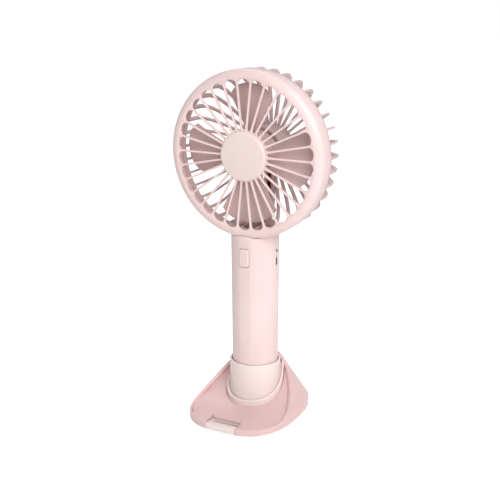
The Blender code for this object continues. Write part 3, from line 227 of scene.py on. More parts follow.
def tone_drift():
    """Slow change of tone over a moulding, with faint dust in a few places. Puts out a colour."""
    tree, source, target = group_tree(
        "tone_drift", [("Base", (0.8, 0.6, 0.6)), ("Shade", (0.7, 0.5, 0.5)), ("Scale", 22.0),
                       ("Dust", 0.12)], [("Color", "NodeSocketColor")])
    place = add(tree, "TexCoord")
    slow = add(tree, "TexNoise", Detail=2.0)
    spots = add(tree, "TexNoise", Scale=900.0, Detail=4.0, Roughness=0.7)
    slow_range = add(tree, "MapRange", From_Min=0.35, From_Max=0.7)
    spot_range = add(tree, "MapRange", From_Min=0.62, From_Max=0.80)
    dust_mask = add(tree, "Math", operation="MULTIPLY")
    drift = add(tree, "Mix", data_type="RGBA")
    dusty = add(tree, "Mix", data_type="RGBA")
    dusty.inputs["B"].default_value = (0.92, 0.89, 0.87, 1.0)
    link = tree.links.new
    link(place.outputs["Object"], slow.inputs["Vector"])
    link(place.outputs["Object"], spots.inputs["Vector"])
    link(source.outputs["Scale"], slow.inputs["Scale"])
    link(slow.outputs["Fac"], slow_range.inputs["Value"])
    link(spots.outputs["Fac"], spot_range.inputs["Value"])
    link(spot_range.outputs["Result"], dust_mask.inputs[0])
    link(source.outputs["Dust"], dust_mask.inputs[1])
    link(slow_range.outputs["Result"], drift.inputs["Factor"])
    link(source.outputs["Base"], drift.inputs["A"])
    link(source.outputs["Shade"], drift.inputs["B"])
    link(drift.outputs["Result"], dusty.inputs["A"])
    link(dust_mask.outputs[0], dusty.inputs["Factor"])
    link(dusty.outputs["Result"], target.inputs["Color"])
    return tree


def handling():
    """Where hands have polished or smeared the surface. Puts out a roughness."""
    tree, source, target = group_tree(
        "handling", [("Rough", 0.4), ("Spread", 0.08), ("Scale", 60.0)],
        [("Roughness", "NodeSocketFloat")])
    place = add(tree, "TexCoord")
    smear = add(tree, "TexNoise", Detail=5.0, Roughness=0.62, Distortion=0.6)
    centred = add(tree, "Math", operation="SUBTRACT")
    centred.inputs[1].default_value = 0.5
    scaled = add(tree, "Math", operation="MULTIPLY_ADD")
    link = tree.links.new
    link(place.outputs["Object"], smear.inputs["Vector"])
    link(source.outputs["Scale"], smear.inputs["Scale"])
    link(smear.outputs["Fac"], centred.inputs[0])
    link(centred.outputs[0], scaled.inputs[0])
    link(source.outputs["Spread"], scaled.inputs[1])
    link(source.outputs["Rough"], scaled.inputs[2])
    link(scaled.outputs[0], target.inputs["Roughness"])
    return tree


def brushed_lines():
    """Fine turning or drawing lines along one axis of a metal part. Puts out a height and a mask."""
    tree, source, target = group_tree(
        "brushed_lines", [("Across X", 300.0), ("Across Y", 6000.0), ("Across Z", 300.0)],
        [("Height", "NodeSocketFloat"), ("Mask", "NodeSocketFloat")])
    place = add(tree, "TexCoord")
    stretch = add(tree, "VectorMath", operation="MULTIPLY")
    joined = add(tree, "CombineXYZ")
    lines = add(tree, "TexNoise", Scale=1.0, Detail=3.0)
    mask = add(tree, "TexNoise", Scale=240.0, Detail=3.0)
    link = tree.links.new
    for socket, axis in (("Across X", "X"), ("Across Y", "Y"), ("Across Z", "Z")):
        link(source.outputs[socket], joined.inputs[axis])
    link(place.outputs["Object"], stretch.inputs[0])
    link(joined.outputs["Vector"], stretch.inputs[1])
    link(stretch.outputs["Vector"], lines.inputs["Vector"])
    link(place.outputs["Object"], mask.inputs["Vector"])
    link(lines.outputs["Fac"], target.inputs["Height"])
    link(mask.outputs["Fac"], target.inputs["Mask"])
    return tree


GROUPS = {}


def group(name):
    if name not in GROUPS:
        makers = {"mould_grain": mould_grain, "tone_drift": tone_drift, "handling": handling,
                  "brushed_lines": brushed_lines}
        GROUPS[name] = makers[name]()
    return GROUPS[name]


def placed_group(tree, name, **values):
    node = tree.nodes.new("ShaderNodeGroup")
    node.node_tree = group(name)
    for key, value in values.items():
        node.inputs[key.replace("_", " ")].default_value = value
    return node


# ---------------------------------------------------------------- materials

def start_material(name):
    made = bpy.data.materials.new(name)
    made.use_nodes = True
    tree = made.node_tree
    return made, tree, tree.nodes["Principled BSDF"]


def moulded(name, colour, rough=0.4, spread=0.08, coat=0.0, grain=2600.0, depth=0.05, shade=0.93,
            dust=0.10, glow=0.08):
    """Injection-moulded plastic: tone drift, handling marks and mould grain."""
    made, tree, shader = start_material(name)
    base = (*colour, 1.0)
    shaded = (colour[0] * shade, colour[1] * shade * 0.985, colour[2] * shade * 0.985, 1.0)
    tone = placed_group(tree, "tone_drift", Base=base, Shade=shaded, Dust=dust)
    marks = placed_group(tree, "handling", Rough=rough, Spread=spread)
    texture = placed_group(tree, "mould_grain", Grain=grain)
    bump = add(tree, "Bump", Strength=depth, Distance=0.0004)
    shader.inputs["Coat Weight"].default_value = coat
    shader.inputs["Coat Roughness"].default_value = 0.12
    shader.inputs["Subsurface Weight"].default_value = glow
    shader.inputs["Subsurface Radius"].default_value = (0.0030, 0.0016, 0.0012)
    shader.inputs["Subsurface Scale"].default_value = 1.0
    shader.inputs["IOR"].default_value = 1.52
    link = tree.links.new
    link(tone.outputs["Color"], shader.inputs["Base Color"])
    link(marks.outputs["Roughness"], shader.inputs["Roughness"])
    link(texture.outputs["Height"], bump.inputs["Height"])
    link(bump.outputs["Normal"], shader.inputs["Normal"])
    return made


def metal(name, colour, rough=0.3, across=(300.0, 6000.0, 300.0), depth=0.12):
    """Turned or drawn metal: fine lines, patchy tarnish."""
    made, tree, shader = start_material(name)
    lines = placed_group(tree, "brushed_lines", Across_X=across[0], Across_Y=across[1],
                         Across_Z=across[2])
    tint = add(tree, "Mix", data_type="RGBA")
    tint.inputs["A"].default_value = (*colour, 1.0)
    tint.inputs["B"].default_value = (*(channel * 0.72 for channel in colour), 1.0)
    marks = placed_group(tree, "handling", Rough=rough, Spread=0.16, Scale=400.0)
    bump = add(tree, "Bump", Strength=depth, Distance=0.0002)
    shader.inputs["Metallic"].default_value = 1.0
    link = tree.links.new
    link(lines.outputs["Mask"], tint.inputs["Factor"])
    link(tint.outputs["Result"], shader.inputs["Base Color"])
    link(marks.outputs["Roughness"], shader.inputs["Roughness"])
    link(lines.outputs["Height"], bump.inputs["Height"])
    link(bump.outputs["Normal"], shader.inputs["Normal"])
    return made


def foam_rubber(name, colour):
    """Closed-cell pad: small cells and a dusty, matt skin."""
    made, tree, shader = start_material(name)
    place = add(tree, "TexCoord")
    cells = add(tree, "TexVoronoi", Scale=1500.0)
    tone = placed_group(tree, "tone_drift", Base=(*colour, 1.0),
                        Shade=(*(channel * 1.7 for channel in colour), 1.0), Dust=0.3)
    bump = add(tree, "Bump", Strength=0.5, Distance=0.0003)
    marks = placed_group(tree, "handling", Rough=0.85, Spread=0.1)
    link = tree.links.new
    link(place.outputs["Object"], cells.inputs["Vector"])
    link(cells.outputs["Distance"], bump.inputs["Height"])
    link(tone.outputs["Color"], shader.inputs["Base Color"])
    link(marks.outputs["Roughness"], shader.inputs["Roughness"])
    link(bump.outputs["Normal"], shader.inputs["Normal"])
    return made


def printed_board(name, colour):
    """Solder mask with tracks as slightly raised lighter lines."""
    made, tree, shader = start_material(name)
    place = add(tree, "TexCoord")
    tracks = add(tree, "TexBrick", Scale=260.0)
    tracks.inputs["Color1"].default_value = (*colour, 1.0)
    tracks.inputs["Color2"].default_value = (0.02, 0.16, 0.07, 1.0)
    tracks.inputs["Mortar"].default_value = (0.10, 0.34, 0.16, 1.0)
    tracks.inputs["Mortar Size"].default_value = 0.03
    marks = placed_group(tree, "handling", Rough=0.35, Spread=0.1)
    bump = add(tree, "Bump", Strength=0.2, Distance=0.0001)
    link = tree.links.new
    link(place.outputs["Object"], tracks.inputs["Vector"])
    link(tracks.outputs["Color"], shader.inputs["Base Color"])
    link(tracks.outputs["Fac"], bump.inputs["Height"])
    link(marks.outputs["Roughness"], shader.inputs["Roughness"])
    link(bump.outputs["Normal"], shader.inputs["Normal"])
    return made


MATERIALS = {}


def finish_of(name):
    """The finish for one of the record's material slots, made once."""
    if name in MATERIALS:
        return MATERIALS[name]
    tint = colours()
    # The rear cage gets the shell pink darkened to 80 %: painted shade for the cage, which sits recessed
    # behind the ring and grille.
    cage = [channel * 0.80 for channel in tint.shell]
    button = [min(1, channel * 1.04) for channel in tint.shell]
    looks = {
        "shell_pink": (moulded, tint.shell, dict(rough=0.36, coat=0.10)),
        "cap_pink": (moulded, tint.cap, dict(rough=0.30, coat=0.25, depth=0.03)),
        "cage_pink": (moulded, cage, dict(rough=0.42)),
        "blade_rose": (moulded, tint.blade, dict(rough=0.34, coat=0.12, depth=0.04)),
        "button_pink": (moulded, button, dict(rough=0.30, coat=0.2, depth=0.03)),
        "skirt_rose": (moulded, tint.skirt, dict(rough=0.34, coat=0.18)),
        "cup_pink": (moulded, tint.cup, dict(rough=0.20, coat=0.45, depth=0.02)),
        "rubber_dark": (foam_rubber, (0.045, 0.043, 0.043), {}),
        "plastic_black": (moulded, (0.012, 0.012, 0.013), dict(rough=0.5, glow=0.0)),
        "board_green": (printed_board, (0.015, 0.13, 0.05), {}),
        "cell_blue": (moulded, (0.02, 0.08, 0.36), dict(rough=0.28, coat=0.4, glow=0.0)),
        "steel": (metal, (0.58, 0.58, 0.60), {}),
        "magnet_grey": (metal, (0.06, 0.06, 0.065), dict(rough=0.6)),
        "copper": (metal, (0.72, 0.30, 0.16), dict(across=(300.0, 300.0, 7000.0))),
        "brass": (metal, (0.70, 0.48, 0.20), dict(rough=0.36)),
        "lens_clear": (moulded, (0.10, 0.10, 0.11), dict(rough=0.12, coat=0.6, dust=0.02, glow=0.0)),
        "lead_red": (moulded, (0.45, 0.02, 0.015), dict(rough=0.45)),
        "lead_black": (moulded, (0.01, 0.01, 0.01), dict(rough=0.45, glow=0.0)),
    }
    maker, colour, settings = looks[name]
    MATERIALS[name] = maker(name, colour, **settings)
    return MATERIALS[name]


# ---------------------------------------------------------------- mesh helpers

def arc(centre, radius, start_deg, end_deg, steps):
    """Points of an arc, both ends included."""
    points = []
    for index in range(steps + 1):
        angle = math.radians(start_deg + (end_deg - start_deg) * index / steps)
        points.append((centre[0] + radius * math.cos(angle), centre[1] + radius * math.sin(angle)))
    return points


def rounded_rectangle(width, height, radius, steps=8):
    points = []
    for sign_x, sign_y, start in ((1, 1, 0), (-1, 1, 90), (-1, -1, 180), (1, -1, 270)):
        centre = (sign_x * (width / 2 - radius), sign_y * (height / 2 - radius))
        points += arc(centre, radius, start, start + 90, steps)
    return points


def softened(profile, radius, closed=True, steps=3):
    """Round the corners of a (radius, height) profile with small arcs. Points on the axis stay."""
    count = len(profile)
    result = []
    for index, point in enumerate(profile):
        corner = Vector(point)
        inner_end = not closed and index in (0, count - 1)
        if inner_end or corner.x < 1e-7:
            result.append(tuple(corner))
            continue
        before = Vector(profile[index - 1]) - corner
        after = Vector(profile[(index + 1) % count]) - corner
        reach = min(radius, before.length * 0.45, after.length * 0.45)
        first = corner + before.normalized() * reach
        last = corner + after.normalized() * reach
        if before.angle(after, math.pi) > math.radians(165):
            result.append(tuple(corner))
            continue
        for step in range(steps + 1):
            share = step / steps
            low = first.lerp(corner, share)
            high = corner.lerp(last, share)
            result.append(tuple(low.lerp(high, share)))
    return result


def turn_profile(profile, closed=True, steps=128, matrix=None):
    """Spin a (radius, height) profile a full turn about local Z into a closed bmesh."""
    bm = bmesh.new()
    verts = [bm.verts.new((radius, 0.0, height)) for radius, height in profile]
    edges = [bm.edges.new(pair) for pair in zip(verts, verts[1:])]
    if closed:
        edges.append(bm.edges.new((verts[-1], verts[0])))
    bmesh.ops.spin(bm, geom=verts + edges, cent=(0, 0, 0), axis=(0, 0, 1), angle=2 * math.pi,
                   steps=steps, use_merge=True)
    bmesh.ops.remove_doubles(bm, verts=bm.verts, dist=1e-6)
    bmesh.ops.recalc_face_normals(bm, faces=bm.faces)
    if matrix is not None:
        bmesh.ops.transform(bm, matrix=matrix, verts=bm.verts)
    return bm


def head_turned(points, steps=160, radius=0.3 * MM, closed=True):
    """Spin (radius, y) points about the head's axis, with their corners rounded by radius."""
    profile = [(r, -y) for r, y in points]
    if radius:
        profile = softened(profile, radius, closed)
    return turn_profile(profile, closed, steps, HEAD_TURN)


def slab(outline, low, high, matrix=None, bevel=0.0, segments=3):
    """Extrude a flat outline between two heights, with its long edges rounded."""
    bm = bmesh.new()
    face = bm.faces.new([bm.verts.new((x, y, low)) for x, y in outline])
    grown = bmesh.ops.extrude_face_region(bm, geom=[face])
    lifted = [item for item in grown["geom"] if isinstance(item, bmesh.types.BMVert)]
    bmesh.ops.translate(bm, vec=(0, 0, high - low), verts=lifted)
    bmesh.ops.recalc_face_normals(bm, faces=bm.faces)
    if bevel:
        rims = [edge for edge in bm.edges if abs(edge.verts[0].co.z - edge.verts[1].co.z) < 1e-9]
        bmesh.ops.bevel(bm, geom=rims, offset=bevel, segments=segments, profile=0.5, affect="EDGES",
                        material=-1)
    if matrix is not None:
        bmesh.ops.transform(bm, matrix=matrix, verts=bm.verts)
        bmesh.ops.recalc_face_normals(bm, faces=bm.faces)
    return bm


def bar(start, end, radius, segments=48):
    """Round bar between two points."""
    start = Vector(start)
    end = Vector(end)
    along = end - start
    bm = bmesh.new()
    bmesh.ops.create_cone(bm, cap_ends=True, segments=segments, radius1=radius, radius2=radius,
                          depth=along.length)
    turn = along.to_track_quat("Z", "Y").to_matrix().to_4x4()
    bmesh.ops.transform(bm, matrix=Matrix.Translation((start + end) / 2) @ turn, verts=bm.verts)
    return bm


def block(low, high):
    bm = bmesh.new()
    bmesh.ops.create_cube(bm, size=1.0)
    low = Vector(low)
    high = Vector(high)
    bmesh.ops.scale(bm, vec=high - low, verts=bm.verts)
    bmesh.ops.translate(bm, vec=(low + high) / 2, verts=bm.verts)
    return bm


def object_from(name, bm):
    mesh = bpy.data.meshes.new(name)
    bm.to_mesh(mesh)
    bm.free()
    obj = bpy.data.objects.new(name, mesh)
    bpy.context.scene.collection.objects.link(obj)
    return obj


def taken_shape(obj):
    """Take an object's shape as a bmesh and remove the object."""
    shape = bmesh.new()
    shape.from_mesh(obj.data)
    bpy.data.objects.remove(obj, do_unlink=True)
    return shape


def settle(obj):
    """Replace an object's mesh with the result of its modifiers."""
    depsgraph = bpy.context.evaluated_depsgraph_get()
    mesh = bpy.data.meshes.new_from_object(obj.evaluated_get(depsgraph))
    old = obj.data
    obj.modifiers.clear()
    obj.data = mesh
    mesh.name = obj.name
    bpy.data.meshes.remove(old)
    return obj


def carve(obj, shapes, operation="DIFFERENCE"):
    """Cut shapes from an object, or join them to it, and remove them."""
    helpers = []
    for index, shape in enumerate(shapes):
        helper = object_from("helper_%d" % index, shape)
        helpers.append(helper)
        step = obj.modifiers.new("carve_%d" % index, "BOOLEAN")
        step.operation = operation
        step.solver = "EXACT"
        step.object = helper
    settle(obj)
    for helper in helpers:
        mesh = helper.data
        bpy.data.objects.remove(helper, do_unlink=True)
        bpy.data.meshes.remove(mesh)
    return obj


def edge_round(obj, width, segments=2, limit_deg=35.0):
    """Round the sharp edges that cutting has left."""
    bevel = obj.modifiers.new("edge_round", "BEVEL")
    bevel.width = width
    bevel.segments = segments
    bevel.limit_method = "ANGLE"
    bevel.angle_limit = math.radians(limit_deg)
    bevel.harden_normals = False
    bevel.use_clamp_overlap = True
    return settle(obj)


def piece(obj, body, slot, replaces=(), sharp_deg=38.0):
    """Give a finished shape its finish, its body and the CAD nodes that it stands for."""
    mesh = obj.data
    mesh.materials.clear()
    mesh.materials.append(finish_of(slot))
    mesh.shade_smooth()
    mesh.set_sharp_from_angle(angle=math.radians(sharp_deg))
    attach(obj, body)
    if replaces:
        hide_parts(*replaces)
    return obj


# ---------------------------------------------------------------- head

def mouth_radius():
    return HEAD_RADIUS - sizes().ring_face


def grille_sector(spokes, inner, outer, width, hub, rim):
    """One spoke with its share of the hub disc and the rim, as a flat outline."""
    half = math.pi / spokes
    corner = 2.6 * MM
    shoulder = outer - corner

    def at_spoke(radius):
        return width / 2 / radius

    side = [(hub, half), (inner - 0.6 * MM, half)]
    side += [(inner, half * 0.72), (inner + 0.25 * MM, at_spoke(inner) * 1.15)]
    for share in (0.2, 0.45, 0.7, 0.88):
        radius = inner + (shoulder - inner) * share
        side.append((radius, at_spoke(radius)))
    side.append((shoulder, at_spoke(shoulder)))
    steps = 7
    for step in range(1, steps + 1):
        rise = math.radians(90 * step / steps)
        side.append((shoulder + corner * math.sin(rise),
                     at_spoke(shoulder) + (half - at_spoke(shoulder)) * (1 - math.cos(rise))))
    side.append((rim, half))
    outline = [(radius, -angle) for radius, angle in side] + [(rim, 0.0)]
    outline += list(reversed(side)) + [(hub, 0.0)]
    return [(radius * math.cos(angle), radius * math.sin(angle)) for radius, angle in outline]


def grille_plate():
    """All spokes with the hub disc as one plate with rounded bars."""
    spokes = sizes().spokes
    inner = CAP_HIGH.x + 0.7 * MM
    outline = grille_sector(spokes, inner, mouth_radius() - 0.25 * MM, sizes().spoke_width, GRILLE_HUB,
                            mouth_radius() + 1.0 * MM)
    bm = bmesh.new()
    face = bm.faces.new([bm.verts.new((x, y, 0.0)) for x, y in outline])
    turn = Matrix.Rotation(2 * math.pi / spokes, 3, "Z")
    last = [face]
    for _ in range(spokes - 1):
        copy = bmesh.ops.duplicate(bm, geom=last)
        verts = [item for item in copy["geom"] if isinstance(item, bmesh.types.BMVert)]
        last = [item for item in copy["geom"] if isinstance(item, bmesh.types.BMFace)]
        bmesh.ops.rotate(bm, cent=(0, 0, 0), matrix=turn, verts=verts)
    bmesh.ops.remove_doubles(bm, verts=bm.verts, dist=1e-5)
    grown = bmesh.ops.extrude_face_region(bm, geom=list(bm.faces))
    lifted = [item for item in grown["geom"] if isinstance(item, bmesh.types.BMVert)]
    bmesh.ops.translate(bm, vec=(0, 0, -SPOKE_DEPTH), verts=lifted)
    bmesh.ops.recalc_face_normals(bm, faces=bm.faces)
    rims = []
    for edge in bm.edges:
        level = abs(edge.verts[0].co.z - edge.verts[1].co.z) < 1e-9
        far = max(v.co.xy.length for v in edge.verts)
        near = min(v.co.xy.length for v in edge.verts)
        turned = len(edge.link_faces) == 2 and edge.calc_face_angle(0.0) > 1.0
        if level and turned and near > inner - 1.5 * MM and far < mouth_radius() + 0.3 * MM:
            rims.append(edge)
    bmesh.ops.bevel(bm, geom=rims, offset=0.42 * MM, segments=3, profile=0.5, affect="EDGES",
                    material=-1)
    place = HEAD_TURN @ Matrix.Translation((0, 0, -(FACE + 0.15 * MM)))
    bmesh.ops.transform(bm, matrix=place, verts=bm.verts)
    bmesh.ops.recalc_face_normals(bm, faces=bm.faces)
    return bm


def ring_curve(grow=0.0, steps=12):
    """Rounded front of the ring as (radius, y), from the mouth to the outer band."""
    size = sizes()
    points = []
    for index in range(steps + 1):
        angle = math.radians(90 * index / steps)
        points.append((mouth_radius() + size.ring_face * math.sin(angle) + grow,
                       FACE + size.ring_round * (1 - math.cos(angle)) - grow * math.cos(angle)))
    return points


def ring_room(back, steps):
    """Room that the ring and its mouth take, as a cutter that reaches back to y = back."""
    seam = sizes().seam
    points = [(0.0, FACE - 3 * MM), (mouth_radius(), FACE - 3 * MM)] + ring_curve(seam)
    points += [(HEAD_RADIUS + seam, back), (0.0, back)]
    return head_turned(points, steps, 0.0, False)


def build_front_grille():
    wall = sizes().shell_wall
    lip = 2.2 * MM
    points = ring_curve()
    points += [(HEAD_RADIUS, RING_BACK), (HEAD_RADIUS - wall, RING_BACK),
               (HEAD_RADIUS - wall, FACE + sizes().ring_round),
               (mouth_radius() + lip, FACE + lip), (mouth_radius(), FACE + lip)]
    ring = object_from("grille_ring_and_spokes", head_turned(points, 192, 0.35 * MM))
    carve(ring, [grille_plate()], "UNION")
    return piece(ring, "fan", "shell_pink", ["front_grille"])


def build_grille_cap():
    back = CAP_LOW.y + CAP_THICKNESS
    radius = CAP_HIGH.x
    dome = []
    for index in range(9):
        share = index / 8
        dome.append((radius * 0.93 * share, CAP_LOW.y + 0.35 * MM * share ** 2))
    points = dome + [(radius - 0.35 * MM, CAP_LOW.y + 0.62 * MM), (radius, CAP_LOW.y + 1.0 * MM),
                     (radius, back), (PIN_RADIUS, back), (PIN_RADIUS, CAP_HIGH.y), (0.0, CAP_HIGH.y)]
    cap = object_from("grille_centre_cap", head_turned(points, 128, 0.25 * MM, False))
    return piece(cap, "fan", "cap_pink", ["grille_cap"])


def hub_radius():
    return REAR_CAP_HIGH.x + 1.0 * MM


def hub_back():
    return REAR_CAP_LOW.y - sizes().seam


def cage_curve(inset, steps=18):
    """Outer side of a rib as (radius, y), moved inwards by inset."""
    radius = HEAD_RADIUS - sizes().seam
    end = hub_radius() - 1.15 * MM
    straight = 6.0 * MM
    axial = hub_back() - 1.1 * MM - straight
    points = [(radius - inset, RING_BACK + sizes().seam + 0.5 * MM)]
    for index in range(steps + 1):
        angle = math.radians(90 * index / steps)
        points.append((end + (radius - end - inset) * max(0.0, math.cos(angle)) ** 0.75,
                       straight + (axial - inset) * math.sin(angle) ** 0.75))
    return points


def rib(outer_inset, inner_inset, width, angle_deg, bevel):
    outline = cage_curve(outer_inset) + cage_curve(inner_inset)[::-1]
    stand = Matrix.Rotation(math.radians(90), 4, "X")
    turn = Matrix.Rotation(math.radians(angle_deg), 4, "Z")
    flat = [(radius, -y) for radius, y in outline]
    return slab(flat, -width / 2, width / 2, HEAD_TURN @ turn @ stand, bevel, 2)


def merged(shapes):
    """Put several closed shapes into one bmesh."""
    whole = bmesh.new()
    for shape in shapes:
        mesh = bpy.data.meshes.new("part_of_set")
        shape.to_mesh(mesh)
        shape.free()
        whole.from_mesh(mesh)
        bpy.data.meshes.remove(mesh)
    return whole


def build_rear_cage():
    size = sizes()
    radius = HEAD_RADIUS - size.seam
    front = RING_BACK + size.seam
    depth = size.rib_depth
    outside = radius + 0.2 * MM
    inside = radius - depth + 0.5 * MM
    ring_back = front + CAGE_FRONT_DEPTH
    ring = head_turned([(outside, front), (outside, ring_back), (inside, ring_back), (inside, front)],
                       192, 0.4 * MM)
    floor = hub_back() - 1.6 * MM
    inner = hub_radius() - 2.3 * MM
    hub = head_turned([(hub_radius(), MOTOR_CUP_FRONT), (hub_radius(), hub_back()),
                       (2.0 * MM, hub_back()), (2.0 * MM, floor), (inner, floor),
                       (inner, MOTOR_CUP_FRONT)], 96, 0.5 * MM)
    neck_low = SHELL_HIGH.z + size.seam
    neck_top = SHELL_HIGH.z + NECK_REACH
    neck_inner = SHELL_HIGH.x - NECK_WALL
    neck = [(SHELL_HIGH.x, neck_top), (SHELL_HIGH.x, neck_low), (neck_inner, neck_low),
            (neck_inner, neck_top)]
    collar = object_from("neck_collar", turn_profile(softened(neck, 0.3 * MM), True, 96))
    clear = depth - 0.5 * MM
    room = [(0.0, RING_BACK - 1 * MM), (radius - clear, RING_BACK - 1 * MM)]
    room += cage_curve(clear)[1:] + [(0.0, hub_back() - 5 * MM)]
    carve(collar, [head_turned(room, 96, 0.0, False), ring_room(front + 0.35 * MM, 96)])
    bars = []
    for index in range(size.ribs):
        angle = 360.0 * index / size.ribs
        if abs(angle - 270.0) > 1.0:
            bars.append(rib(0.0, depth, size.rib_width, angle, 0.32 * MM))
    channel = rib(0.0, 4.6 * MM, 6.4 * MM, 270.0, 0.5 * MM)
    groove = rib(1.4 * MM, 7.6 * MM, 3.6 * MM, 270.0, 0.0)
    cage = object_from("cage_ribs_and_motor_cup", ring)
    carve(cage, [merged(bars), channel, hub, taken_shape(collar)], "UNION")
    carve(cage, [groove])
    return piece(cage, "fan", "cage_pink", ["rear_cage"])


def build_rear_cap():
    front = REAR_CAP_LOW.y
    back = REAR_CAP_HIGH.y
    radius = REAR_CAP_HIGH.x
    points = [(0.0, front), (radius, front), (radius, back - 0.9 * MM)]
    for index in range(8):
        share = index / 7
        points.append(((radius - 0.7 * MM) * (1 - share), back - 0.35 * MM * (1 - share) ** 2))
    cap = object_from("rear_cover_disc", head_turned(points, 96, 0.25 * MM, False))
    return piece(cap, "fan", "cap_pink", ["rear_hub_cap"])


# ---------------------------------------------------------------- impeller

def blade_sheet():
    """One pitched, slightly cupped blade as a sheet in head coordinates."""
    reach = IMPELLER_HIGH.x
    bm = bmesh.new()
    bmesh.ops.create_grid(bm, x_segments=14, y_segments=14, size=0.5)
    middle = -(IMPELLER_LOW.y + BLADE_MIDDLE)
    for vert in bm.verts:
        along = vert.co.x + 0.5
        across = vert.co.y * 2
        tip = reach - 0.4 * MM - 5.0 * MM * abs(across) ** 3
        radius = BLADE_ROOT + (tip - BLADE_ROOT) * along
        spread = BLADE_SPREAD * (0.86 + 0.14 * along)
        angle = math.radians(spread / 2 * across)
        cup = 0.9 * MM * (1 - across ** 2) * math.sin(math.pi * min(1.0, along * 1.1) * 0.9)
        rise = BLADE_DEPTH / 2 * (across - 0.10 * math.sin(math.pi * across))
        height = middle - rise * (0.86 + 0.14 * (1 - along)) + cup
        vert.co = (radius * math.cos(angle), radius * math.sin(angle), height)
    bmesh.ops.recalc_face_normals(bm, faces=bm.faces)
    return bm


def build_impeller():
    front = IMPELLER_LOW.y
    inner = WHEEL_HUB - WHEEL_WALL
    back = front + WHEEL_DEPTH
    web = front + WHEEL_WALL
    points = [(0.0, front)]
    for index in range(1, 9):
        angle = math.radians(90 * index / 8)
        points.append((WHEEL_HUB - WHEEL_ROUND * (1 - math.sin(angle)),
                       front + WHEEL_ROUND * (1 - math.cos(angle))))
    points += [(WHEEL_HUB, back), (inner, back), (inner, web + 1.2 * MM), (SOCKET_WALL, web),
               (SOCKET_WALL, back + 1.6 * MM), (SHAFT_SOCKET, back + 1.6 * MM),
               (SHAFT_SOCKET, back + 1.0 * MM), (0.0, back + 1.0 * MM)]
    wheel = object_from("impeller_hub_and_blades", head_turned(points, 96, 0.3 * MM, False))
    count = sizes().blades
    blades = []
    for index in range(count):
        sheet = blade_sheet()
        angle = math.radians(BLADE_TURN + 360.0 * index / count)
        turn = Matrix.Rotation(angle, 4, "Z")
        bmesh.ops.transform(sheet, matrix=HEAD_TURN @ turn, verts=sheet.verts)
        blades.append(sheet)
    vanes = object_from("vanes", merged(blades))
    skin = vanes.modifiers.new("skin", "SOLIDIFY")
    skin.thickness = BLADE_THICKNESS
    skin.offset = 0.0
    soft = vanes.modifiers.new("soft", "BEVEL")
    soft.width = 0.4 * MM
    soft.segments = 3
    soft.limit_method = "ANGLE"
    soft.angle_limit = math.radians(50)
    carve(wheel, [taken_shape(settle(vanes))], "UNION")
    return piece(wheel, "impeller", "blade_rose", ["impeller"])


# ---------------------------------------------------------------- handle

def handle_radius(z):
    low = END_LOW.z
    share = (z - low) / (SHELL_HIGH.z - low)
    return END_HIGH.x + (SHELL_HIGH.x - END_HIGH.x) * share


def handle_tube():
    wall = sizes().shell_wall
    top = SHELL_HIGH.z
    low = SHELL_LOW.z
    profile = [(handle_radius(top), top), (handle_radius(low), low), (handle_radius(low) - wall, low),
               (handle_radius(top) - wall, top)]
    return turn_profile(softened(profile, 0.35 * MM), True, 160)


def side_facing(place):
    """Local X to world Y, local Y to world Z, local Z to world X, at a place."""
    turn = Matrix(((0, 0, 1, 0), (1, 0, 0, 0), (0, 1, 0, 0), (0, 0, 0, 1)))
    return Matrix.Translation(place) @ turn


def head_room():
    return ring_room(SHELL_HIGH.x + 2 * MM, 128)


def port_room():
    size = sizes()
    middle_z = (PORT_LOW.z + PORT_HIGH.z) / 2
    outline = rounded_rectangle(PORT_WIDTH + 2 * size.seam, PORT_HEIGHT + 2 * size.seam, 1.0 * MM)
    return slab(outline, -4 * MM, 4 * MM, side_facing((15 * MM, 0, middle_z)))


def light_room():
    z = (LIGHT_LOW.z + LIGHT_HIGH.z) / 2
    return bar((10 * MM, 0, z), (18 * MM, 0, z), LIGHT_RADIUS + sizes().seam, 32)


def button_room():
    size = sizes()
    z = (BUTTON_LOW.z + BUTTON_HIGH.z) / 2
    outline = rounded_rectangle(BUTTON_WIDTH + 2 * size.seam, BUTTON_HEIGHT + 2 * size.seam, 2.2 * MM)
    place = Matrix.Translation((0, -14.5 * MM, z)) @ Matrix.Rotation(math.radians(90), 4, "X")
    return slab(outline, -4 * MM, 4 * MM, place)


def screw_room(node):
    low, high = (Vector(corner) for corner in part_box(node))
    z = (low.z + high.z) / 2
    radius = (high.x - low.x) / 2 + sizes().seam
    return bar((0, high.y - 0.9 * MM, z), (0, 20 * MM, z), radius, 40)


def build_handle():
    seam = sizes().seam / 2
    front = object_from("handle_front_half", handle_tube())
    carve(front, [block((-FAR, -seam, -FAR), (FAR, FAR, 5 * FAR)), head_room(), button_room(),
                  port_room(), light_room()])
    edge_round(front, 0.16 * MM)
    piece(front, "fan", "shell_pink", ["handle_front_shell"])
    rear = object_from("handle_rear_half", handle_tube())
    carve(rear, [block((-FAR, -FAR, -FAR), (FAR, seam, 5 * FAR)), head_room(), port_room(),
                 light_room(), screw_room("handle_screw"), screw_room("neck_screw")])
    edge_round(rear, 0.16 * MM)
    return piece(rear, "fan", "shell_pink", ["handle_rear_shell"])


def build_end_cap():
    low = END_LOW.z
    shoulder = low + 2.8 * MM
    plug = handle_radius(SHELL_LOW.z) - sizes().shell_wall - sizes().seam
    outer = END_HIGH.x
    profile = [(0.0, END_HIGH.z), (plug, END_HIGH.z), (plug, shoulder), (outer, shoulder)]
    profile += [(outer - 1.4 * MM + 1.4 * MM * math.cos(math.radians(a)),
                 low + 1.4 * MM - 1.4 * MM * math.sin(math.radians(a))) for a in range(0, 91, 15)]
    profile += [(0.0, low)]
    cap = object_from("handle_foot_cap", turn_profile(softened(profile, 0.2 * MM, False), False, 96))
    return piece(cap, "fan", "shell_pink", ["handle_end_cap"])


